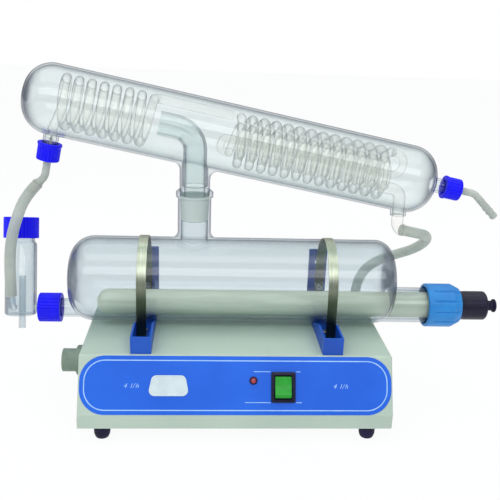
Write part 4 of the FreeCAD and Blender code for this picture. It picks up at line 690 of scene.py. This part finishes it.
heaterShape = {
    "tip": -162.0, "radius": 15.2, "wall": 1.5, "flangeFrom": 243.0, "flangeTo": 247.0, "flangeRadius": 21.5,
    "tail": 263.5,
}
unionNut = {
    "start": 228.0, "end": 269.5, "radius": 26.0, "bore": 22.8, "hole": 15.5, "shoulder": 247.3, "lobes": 12,
    "lobeDepth": 1.5, "slope": 10.0, "slopeIn": 5.2,
}
heaterCap = {"start": 269.8, "end": 303.0, "radius": 17.4, "bore": 13.7, "wall": 2.0, "hole": 6.1}
cableBoot = {
    "start": 299.0, "collar": 301.0, "neck": 312.5, "bead": 313.6, "end": 316.0, "radius": 6.0, "wide": 8.0,
    "bore": 4.0,
}


def heaterPiece(name, profile, columns, finish, body, node, swell=None, crease=38):
    origin = (0.0, still["axisY"], still["heaterAxis"])
    gridPiece(name, [turnedGrid(profile, columns, origin, acrossX, swell)], finish, body, [node],
              crease)


def addSheath(shape):
    radius, wide = shape["radius"], shape["flangeRadius"]
    inner = radius - shape["wall"]
    tip, low, high, tail = picked(shape, "tip flangeFrom flangeTo tail")
    innerTip = tip + shape["wall"]
    sheath = profiled([
        (0, tip, 0), (radius, tip, radius * 0.92), (radius, low, 0.6), (wide, low, 0.8), (wide, high, 0.8),
        (radius, high, 0.6), (radius, tail, 0.4), (inner, tail, 0.4), (inner, innerTip, inner * 0.9),
        (0, innerTip, 0),
    ], 12, 8.0, False)
    heaterPiece("heaterSheath", sheath, 64, "fusedQuartzSheath", "heater", "heater_sheath")


def addUnionNut(shape):
    start, end, radius, bore, hole = picked(shape, "start end radius bore hole")
    nut = profiled([
        (bore, start, 0.4), (radius, start, 1.6), (radius, end - shape["slope"], 3.0),
        (radius - shape["slopeIn"], end, 1.6), (hole, end, 0.4), (hole, shape["shoulder"], 0.3),
        (bore, shape["shoulder"], 0.3),
    ], 6, 1.5)

    def lobes(angle, ring, height):
        # Narrow grooves between wide lobes: depth * a bell around each lobe's seam
        seam = np.exp(-(np.sin(angle * shape["lobes"] / 2) / 0.22) ** 2)
        return -shape["lobeDepth"] * seam * ramp(ring, 21.0, 2.5) * ramp(height, start + 6.0, 2.0)

    heaterPiece("heaterUnionNut", nut, 192, "lightBlueNut", "union_nut", "heater_nut", lobes, 45)


def addHeaterCap(shape):
    start, end, radius, bore, hole = picked(shape, "start end radius bore hole")
    crown = end - shape["wall"]
    cap = profiled([
        (bore, start, 0.3), (radius, start, 1.0), (radius, end, 3.2), (hole, end, 0.3), (hole, crown, 0.3),
        (bore, crown, 2.0),
    ], 6, 1.0)

    def grooves(angle, ring, height):
        # One shallow groove around the cap near its root, and fine flats along its side
        groove = 0.5 * np.exp(-((height - start - 5.0) / 0.7) ** 2)
        flats = 0.12 * (1 - np.cos(angle * 24)) / 2
        return -(groove + flats) * ramp(ring, radius - 1.0, 0.8)

    heaterPiece("heaterCap", cap, 144, "blackPlastic", "heater", "heater_cap", grooves)


def addCableBoot(shape):
    radius, wide, bore = shape["radius"], shape["wide"], shape["bore"]
    boot = profiled([
        (bore, shape["start"], 0.2), (wide, shape["start"], 0.3), (wide, shape["collar"], 0.3),
        (radius, shape["collar"], 0.3), (radius, shape["neck"], 0.8), (wide, shape["bead"], 0.6),
        (wide, shape["end"], 0.8), (bore, shape["end"], 0.4),
    ], 5, 1.0)
    heaterPiece("heaterCableBoot", boot, 48, "darkRubber", "heater", "cable_boot")


addSheath(heaterShape)
addUnionNut(unionNut)
addHeaterCap(heaterCap)
addCableBoot(cableBoot)
print("heater")

# Straps, one strip each: hooked under the base, up the front, over the boiler and down behind it

strapShape = {
    "xs": {"left": -106.8, "right": 107.6}, "width": 11.0, "thickness": 1.0, "radius": 49.7, "hook": 8.0,
    "hookBend": 1.2, "foot": 87.5, "tail": 110.0, "edge": 0.25,
}


def addStrap(side, x, shape):
    # Centre line + thickness across it and width along x, in a ring of eight points with small chamfers
    middle = shape["radius"] + shape["thickness"] / 2
    front = still["axisY"] - middle
    turn = np.linspace(math.pi, 0, 49)
    arch = middle * np.stack([np.cos(turn), np.sin(turn)], axis=1) + [still["axisY"], still["boilerAxis"]]
    legs = rounded([(front + shape["hook"], shape["foot"]), (front, shape["foot"]),
                    (front, still["boilerAxis"])],
                   [0, shape["hookBend"], 0], 6)
    line = np.concatenate([legs[:-1], arch, [(still["axisY"] + middle, shape["tail"])]])
    heading = headings(line)
    across = np.stack([heading[:, 1], -heading[:, 0]], axis=1)
    half, thick, edge = shape["width"] / 2, shape["thickness"] / 2, shape["edge"]
    oneSide = [(half - edge, thick), (half, thick - edge), (half, edge - thick), (half - edge, -thick)]
    ring = np.array(oneSide + [(-wide, -deep) for wide, deep in oneSide])
    grid = np.empty((len(line), len(ring), 3))
    grid[..., 0] = x + ring[None, :, 0]
    grid[..., 1:] = line[:, None] + ring[None, :, 1:] * across[:, None]
    gridPiece("strap" + side.capitalize(), [poled(grid)], "brushedStrapSteel", "base",
              ["strap_" + side], 30)


for side, x in strapShape["xs"].items():
    addStrap(side, x, strapShape)

# Socket screws of the brackets and the straps

screwShape = {
    "head": 3.8, "height": 2.2, "shaft": 2.0, "socket": 1.5, "depth": 1.2, "reach": 7.2, "sheet": 92.0,
    "xs": (-104.3, 104.3), "ys": (86.0, 128.0),
}
strapScrew = {**screwShape, "height": 1.1, "depth": 0.7, "reach": 6.0, "y": 167.7, "level": 117.4}


def sixFlats(angle):
    # How far a hexagon's side lies inside its corners: cosine 30 / cosine(angle to the side's middle) - 1
    return math.cos(math.pi / 6) / np.cos(np.mod(angle, math.pi / 3) - math.pi / 6) - 1


def socketScrew(origin, axis, shape):
    # A domed head with a six-sided recess
    head, height, shaft, socket, reach = picked(shape, "head height shaft socket reach")
    floor = height - shape["depth"]
    profile = profiled([
        (0, floor, 0), (socket, floor, 0.05), (socket, height, 0.1), (head, height, min(1.2, height * 0.8)),
        (head, 0, 0.1), (shaft, 0, 0.1), (shaft, -reach, 0.3), (0, -reach, 0),
    ], 5, None, False)

    def flats(angle, ring, level):
        inSocket = (ring < socket + 0.12) * (ring > 0.01) * (level > floor - 0.01)
        return socket * sixFlats(angle) * 1.15 * inSocket

    return turnedGrid(profile, 36, origin, axis, flats)


def addScrews(name, node, screws):
    gridPiece(name, screws, "zincFasteners", "base", [node])


addScrews("bracketScrews", "bracket_screws", [
    socketScrew((x, y, screwShape["sheet"]), upZ,
                screwShape) for x in screwShape["xs"] for y in screwShape["ys"]
])
addScrews("strapScrews", "strap_screws", [
    socketScrew((x, strapScrew["y"], strapScrew["level"]), -backY,
                strapScrew) for x in strapShape["xs"].values()
])

# Front panel: border line and marks on the label film, badge plate, lamp and switch

panelShape = {
    "half": 168.2, "low": 0.76, "height": 62.4, "corner": 27.0, "film": 0.4, "lineInset": 4.3,
    "lineWidth": 1.1,
    "print": 0.06, "sunk": 0.05, "dashHeight": 0.7,
    "dashes": ((17.6, 35.8, 46.9), (63.6, 68.4, 46.9), (8.5, 35.8, 14.0), (63.6, 70.0, 14.0)),
}
capacityMark = {"words": "4 l/h", "acrosses": {"Left": -113.6, "Right": 112.0}, "up": 31.2, "size": 6.8}


def boxOutline(middleX, middleUp, width, height, corner, inset=0.0):
    # A rounded rectangle, drawn inwards by the inset, as points around it
    halfX = width / 2 - inset
    halfUp = height / 2 - inset
    corners = [(-halfX, -halfUp), (halfX, -halfUp), (halfX, halfUp), (-halfX, halfUp)]
    return rounded(corners, [max(corner - inset, 0.05)] * 4, 14, True) + [middleX, middleUp]


def layered(rows):
    # Rows of one outline each at their own height, out of the panel
    return np.stack([onPanel(line[:, 0], line[:, 1], height) for line, height in rows])


def flatPlate(outline, low, high, edge):
    # A plate with a chamfered upper edge; its faces close on the outline's own middle line
    middle = outline.mean(axis=0)
    reach = np.abs(outline - middle).max(axis=0)
    spare = np.maximum(reach - min(reach), 0)
    kept = np.clip(outline - middle, -spare, spare) + middle
    shrink = (outline - kept) / np.maximum(np.linalg.norm(outline - kept, axis=1), 1e-6)[:, None]
    chamfered = outline - shrink * edge
    return layered([(kept, low), (outline, low), (outline, high - edge), (chamfered, high), (kept, high)])


def addLabelPrint(shape):
    middleUp = shape["low"] + shape["height"] / 2
    size = (shape["half"] * 2, shape["height"], shape["corner"])
    outer = boxOutline(0.0, middleUp, *size, shape["lineInset"])
    inner = boxOutline(0.0, middleUp, *size, shape["lineInset"] + shape["lineWidth"])
    low = shape["film"] - shape["sunk"]
    top = shape["film"] + shape["print"]
    lines = [layered([(outer, low), (outer, top), (inner, top), (inner, low), (outer, low)])]
    for start, end, up in shape["dashes"]:
        bar = boxOutline((start + end) / 2, up, end - start, shape["dashHeight"], 0.3)
        lines.append(flatPlate(bar, low, top, 0.02))
    gridPiece("labelLines", lines, "paleLabelPrint", "base", (), 25)


def addMark(side, across, shape):
    # The capacity mark in slanted letters, laid on the film
    name = "capacityMark" + side
    text = bpy.data.curves.new(name, "FONT")
    text.body = shape["words"]
    text.size = shape["size"]
    text.shear = 0.35
    text.space_character = 1.3
    text.align_x = "CENTER"
    text.align_y = "CENTER"
    text.extrude = panelShape["print"] / 2
    text.resolution_u = 4
    lettering = bpy.data.objects.new(name, text)
    mesh = bpy.data.meshes.new_from_object(lettering)
    bpy.data.objects.remove(lettering)
    spots = np.empty(len(mesh.vertices) * 3)
    mesh.vertices.foreach_get("co", spots)
    spots = spots.reshape(-1, 3)
    height = panelShape["film"] + 0.02 + spots[:, 2]
    placed = metres(onPanel(across + spots[:, 0], shape["up"] + spots[:, 1], height))
    mesh.vertices.foreach_set("co", placed.ravel())
    finishedPiece(name, mesh, "paleLabelPrint", "base", (), 30)


addLabelPrint(panelShape)
for side, across in capacityMark["acrosses"].items():
    addMark(side, across, capacityMark)

badgeShape = {"x": -73.6, "up": 31.6, "bottom": 44.5, "top": 35.5, "height": 22.0, "corner": 6.0,
              "thick": 0.8}


def addBadge(shape):
    # A plate narrower at its top, bare, with a raised rim
    low = shape["up"] - shape["height"] / 2
    high = low + shape["height"]

    def outline(inset):
        bottom, top = [shape[key] / 2 - inset * 1.12 for key in ("bottom", "top")]
        corners = [(-bottom, low + inset), (bottom, low + inset), (top, high - inset), (-top, high - inset)]
        return rounded(corners, [shape["corner"] - inset * 0.8] * 4, 8, True) + [shape["x"], 0.0]

    foot = panelShape["film"]
    top = foot + shape["thick"]
    middle = np.broadcast_to([shape["x"], shape["up"]], outline(0).shape)
    plate = layered([(middle, foot), (outline(0), foot), (outline(0), top - 0.3), (outline(0.3), top),
                     (outline(1.3), top), (outline(1.6), top - 0.25), (middle, top - 0.25)])
    gridPiece("badgePlate", [plate], "whiteBadge", "base", ["badge_plate"], 25)


addBadge(badgeShape)

lampShape = {
    "x": 17.3, "up": 37.3, "flange": 4.4, "face": 1.2, "barrel": 2.9, "depth": 18.0, "lens": 3.0, "seat": 0.9,
    "rise": 2.6,
}


def addLamp(shape):
    origin = onPanel(shape["x"], shape["up"], panelShape["film"])
    flange, face, barrel, lens, seat = picked(shape, "flange face barrel lens seat")
    top = face + shape["rise"]
    body = profiled([
        (0, -shape["depth"], 0), (barrel, -shape["depth"], 0.3), (barrel, 0, 0.1), (flange, 0, 0.2),
        (flange, face, 0.5), (lens + 0.1, face, 0.1), (lens - 0.2, seat, 0.1), (0, seat, 0),
    ], 5, None, False)
    dome = profiled([(0, seat, 0), (lens, seat, 0.1), (lens, top, lens * 0.85), (0, top, 0)], 12, None, False)
    gridPiece("lampBezel", [turnedGrid(body, 48, origin, panelOut)], "blackPlastic", "base",
              ["lamp_body"])
    gridPiece("lampLens", [turnedGrid(dome, 40, origin, panelOut)], "redLampLens", "base",
              ["lamp_lens"])


addLamp(lampShape)

switchShape = {
    "x": 49.7, "up": 30.3, "width": 26.4, "height": 32.6, "bezel": 2.0, "well": 12.0, "rockerWidth": 17.6,
    "rockerHalf": 11.5, "side": 0.5, "end": 1.1, "body": (22.0, 28.8), "bodyDepth": 20.0, "pin": 1.5,
    "pinReach": 10.5, "pivotDepth": 3.0,
}


def addSwitch(shape):
    # The body behind the panel, the bezel's rounded edge and the well that the rocker stands in
    film = panelShape["film"]
    top = film + shape["bezel"]
    bezel = (shape["width"], shape["height"])
    well = (shape["rockerWidth"] + shape["side"] * 2, (shape["rockerHalf"] + shape["end"]) * 2)
    rows = [
        ((0.2, 0.2), 0, 0.05, film - shape["bodyDepth"]), (shape["body"], 0, 0.6, film - shape["bodyDepth"]),
        (shape["body"], 0, 0.6, film), (bezel, 0, 2.0, film), (bezel, 0, 2.0, top - 0.7),
        (bezel, -0.8, 1.7, top - 0.2), (bezel, -1.8, 1.4, top), (well, 1.6, 0.9, top),
        (well, 0, 0.5, top - 0.8),
        (well, 0, 0.5, top - shape["well"]), ((0.2, 0.2), 0, 0.05, top - shape["well"]),
    ]
    grid = layered([
        (boxOutline(shape["x"], shape["up"], width + more, height + more, corner), level)
        for (width, height), more, corner, level in rows
    ])
    gridPiece("switchFrame", [grid], "blackPlastic", "base", ["switch_body"], 30)


def addRocker(shape):
    # The rocker's side outline carried across its width, drawn in a little at both sides
    pivot = onPanel(shape["x"], shape["up"], panelShape["film"] + shape["bezel"] - shape["pivotDepth"])
    half = shape["rockerHalf"]
    corners = [(-half, -4.0), (half, -4.0), (half, 2.0), (half * 0.9, 2.2), (0, 2.9), (-half * 0.72, 5.6),
               (-half, 3.2)]
    side = rounded(corners, [0.8, 0.8, 0.6, 2.0, 26.0, 1.2, 0.8], 7, True)
    centre = side.mean(axis=0)
    across = shape["rockerWidth"] / 2
    drawnIn = [(-across, 0.0), (-across, 0.93), (-across + 0.25, 0.975), (-across + 0.8, 1.0)]
    rows = []
    for x, share in drawnIn + [(-x, share) for x, share in reversed(drawnIn)]:
        outline = centre + (side - centre) * share
        rows.append(pivot + x * acrossX + outline[:, :1] * panelUp + outline[:, 1:] * panelOut)
    reach = shape["pinReach"]
    pin = [(0, -reach), (shape["pin"], -reach), (shape["pin"], reach), (0, reach)]
    gridPiece("rocker", [np.stack(rows), turnedGrid(pin, 24, pivot, acrossX)], "greenRocker",
              "power_rocker", ["rocker"], 35)


addSwitch(switchShape)
addRocker(switchShape)
print("front panel")

# Base fittings: feet, tap connection, glands and hose nipple

footShape = {
    "radius": 9.0, "height": 16.0, "bore": 2.1, "recess": 4.6, "recessDepth": 9.0, "flare": 5.0,
    "xs": {"left": -145.0, "right": 145.0}, "ys": {"front": 12.0, "rear": 188.0},
}
footScrew = {**screwShape, "socket": 1.4, "depth": 1.0, "reach": 12.2}


def addFeet(shape):
    radius, height, bore, recess = picked(shape, "radius height bore recess")
    floor = shape["recessDepth"]
    profile = profiled([
        (bore, floor, 0.2), (recess, floor, 0.3), (recess, 0, 0.5), (radius * 0.78, 0, 2.2),
        (radius * 0.97, shape["flare"], 6.0), (radius, height, 0.8), (bore, height, 0.2),
    ], 6)
    for end, y in shape["ys"].items():
        for side, x in shape["xs"].items():
            foot = turnedGrid(profile, 48, (x, y, 0), upZ)
            gridPiece("foot" + end.capitalize() + side.capitalize(), [foot],
                      "darkRubber", "base", ["foot_%s_%s" % (end, side)])
    addScrews("footScrews", "foot_screws", [
        socketScrew((x, y, floor), -upZ,
                    footScrew) for x in shape["xs"].values() for y in shape["ys"].values()
    ])


addFeet(footShape)

tapShape = {
    "flangeRadius": 17.0, "flange": 10.0, "thread": 13.2, "length": 16.0, "bore": 8.5, "shank": 10.5,
    "shankLength": 9.2, "pitch": 1.8, "threadDepth": 0.45, "wall": -170.0,
}


def addTapConnection(shape):
    # Thread: radius less depth * a triangle wave of (height / pitch - angle share)
    bore, shank, wide, major = picked(shape, "bore shank flangeRadius thread")
    flange = shape["flange"]
    top = flange + shape["length"]
    profile = profiled([
        (bore, -shape["shankLength"], 0.4), (shank, -shape["shankLength"], 0.6), (shank, 0, 0.2),
        (wide, 0, 1.2), (wide, flange, 1.6), (major, flange, 0.3), (major, top, 0.9), (bore, top, 0.6),
    ], 5, 0.45)

    def thread(angle, ring, height):
        wave = np.abs(np.mod(height / shape["pitch"] - angle / (2 * math.pi), 1.0) * 2 - 1)
        onSide = np.clip(1 - np.abs(ring - major) / 0.4, 0, 1)
        inRange = ramp(height, flange + 1.5, 1.0) * ramp(-height, 1.2 - top, 1.0)
        return -shape["threadDepth"] * wave * onSide * inRange

    grid = turnedGrid(profile, 96, (shape["wall"], still["tapY"], still["tapHeight"]), -acrossX, thread)
    gridPiece("tapConnection", [grid], "greyPlastic", "base", ["water_inlet"], 50)


addTapConnection(tapShape)

glandShape = {
    "xs": {"mains": -60.0, "heater": 90.0}, "height": 48.0, "back": 200.0, "bore": 3.6, "shank": 7.0,
    "shankLength": 9.2, "collar": 9.0, "collarEnd": 5.0, "nose": 6.5, "noseTip": 5.5, "end": 13.0,
}


def addGlands(shape):
    # A collar with six flats and a tapering nose around an open bore
    bore, shank, collar, level, end = picked(shape, "bore shank collar collarEnd end")
    profile = profiled([
        (bore, -shape["shankLength"], 0.3), (shank, -shape["shankLength"], 0.5), (shank, 0, 0.1),
        (collar, 0, 0.4), (collar, level, 0.6), (shape["nose"], level, 0.3), (shape["noseTip"], end, 1.2),
        (bore, end, 0.4),
    ], 5, 1.0)

    def flats(angle, ring, height):
        return collar * sixFlats(angle) * (ring > 8.0) * 0.75

    for name, x in shape["xs"].items():
        grid = turnedGrid(profile, 72, (x, shape["back"], shape["height"]), backY, flats)
        gridPiece(name + "Gland", [grid], "blackPlastic", "base", [name + "_gland"])


addGlands(glandShape)

nippleShape = {
    "radius": 4.2, "bore": 2.8, "shank": 6.5, "shankLength": 9.0, "flangeRadius": 9.0, "flange": 2.5,
    "inside": 17.0, "outside": 17.5,
}


def addNipple(shape):
    radius, bore, shank, wide = picked(shape, "radius bore shank flangeRadius")
    low, level, high = -shape["inside"], -shape["shankLength"], shape["outside"]
    profile = profiled([
        (bore, low, 0.2), (radius, low, 0.4), (radius, level, 0.2), (shank, level, 0.5), (shank, 0, 0.1),
        (wide, 0, 0.4), (wide, shape["flange"], 0.8), (radius, shape["flange"], 0.3), (radius, high, 0.5),
        (bore, high, 0.2),
    ], 5)
    origin = (still["outletX"], still["outletY"], still["baseTop"])
    gridPiece("hoseNipple", [turnedGrid(profile, 48, origin, upZ)], "milkySpouts", "base",
              ["hose_nipple"])


addNipple(nippleShape)
print("base fittings")

# CAD nodes that stay, each with its finish

keptNodes = {
    "greyGreenPaint": ["base_casing", "bottom_plate"],
    "blueLabelFilm": ["front_label"],
    "blueBracketPaint": ["bracket_left", "bracket_right"],
    "zincFasteners": ["foot_nuts"],
    "greyPlastic": ["inlet_valve"],
    "blackPlastic": ["terminal_block"],
    "whiteSeals": ["boiler_cap_seal", "left_port_seal", "product_seal", "heater_seal", "level_cap_liner"],
    "fusedQuartzSheath": ["heater_core"],
}
for finish, nodes in keptNodes.items():
    for node in nodes:
        for part in cadNodes[node].material_slots:
            part.material = finishes[finish]

# Floor, light and surroundings

studio = {
    "floorHalf": 6.0, "floor": {"colour": (255, 255, 255), "tone": (252, 253, 254), "glow": 0.94},
    "aimHeight": 0.18, "horizon": 0.22, "zenith": 0.80, "zenithFrom": 0.65,
    "lights": {
        "overhead": {"place": (0.0, 0.1, 1.7), "size": (2.2, 1.6), "watts": 12.0},
        "frontStrip": {"place": (-0.1, -1.15, 1.05), "size": (2.4, 0.55), "watts": 7.6},
        "leftFill": {"place": (-1.6, -0.4, 0.7), "size": (0.8, 1.0), "watts": 3.0},
    },
}


def floorSurface(tree, look):
    place = addNode(tree, "TexCoord", output="Object")
    colour = blended(tree, noise(tree, place, 2.0, 2.0), look["colour"], look["tone"])
    matt = addNode(tree, "BsdfDiffuse", {"Color": colour})
    glow = addNode(tree, "Emission", {"Color": colour, "Strength": 1.0})
    return addNode(tree, "MixShader", {0: look["glow"], 1: matt, 2: glow})


def addFloor(shape):
    half = shape["floorHalf"]
    mesh = bpy.data.meshes.new("floor")
    corners = [(-half, -half, 0), (half, -half, 0), (half, half, 0), (-half, half, 0)]
    mesh.from_pydata(corners, [], [(0, 1, 2, 3)])
    mesh.materials.append(newFinish("paleFloor", floorSurface, shape["floor"]))
    linked("floor", mesh)


def addLights(shape):
    for name, light in shape["lights"].items():
        lamp = bpy.data.lights.new(name, "AREA")
        lamp.shape = "RECTANGLE"
        lamp.size, lamp.size_y = light["size"]
        lamp.energy = light["watts"]
        away = unit(np.array(light["place"]) - [0.0, 0.0, shape["aimHeight"]])
        right = unit(np.cross(upZ if abs(away[2]) < 0.95 else backY, away))
        stand(linked(name, lamp), light["place"], right, np.cross(away, right), away)


def addSurroundings(shape):
    # White behind the object; what the object mirrors is bright above and dimmer towards the horizon
    world = bpy.data.worlds.new("studio")
    world.use_nodes = True
    tree = world.node_tree
    tree.nodes.clear()
    heading = addNode(tree, "TexCoord", output="Generated")
    height = addNode(tree, "SeparateXYZ", {"Vector": heading}, "Z")
    level = spread(tree, height, 0.0, shape["zenithFrom"], shape["horizon"], shape["zenith"])
    mirrored = addNode(tree, "Background", {"Color": white, "Strength": level})
    behind = addNode(tree, "Background", {"Color": white, "Strength": 1.0})
    seen = addNode(tree, "LightPath", output="Is Camera Ray")
    addNode(tree, "OutputWorld", {"Surface": addNode(tree, "MixShader", {0: seen, 1: mirrored, 2: behind})})
    bpy.context.scene.world = world


addFloor(studio)
addLights(studio)
addSurroundings(studio)
bpy.context.scene.view_settings.view_transform = "Standard"
bpy.context.scene.cycles.transparent_max_bounces = 40
print("studio")
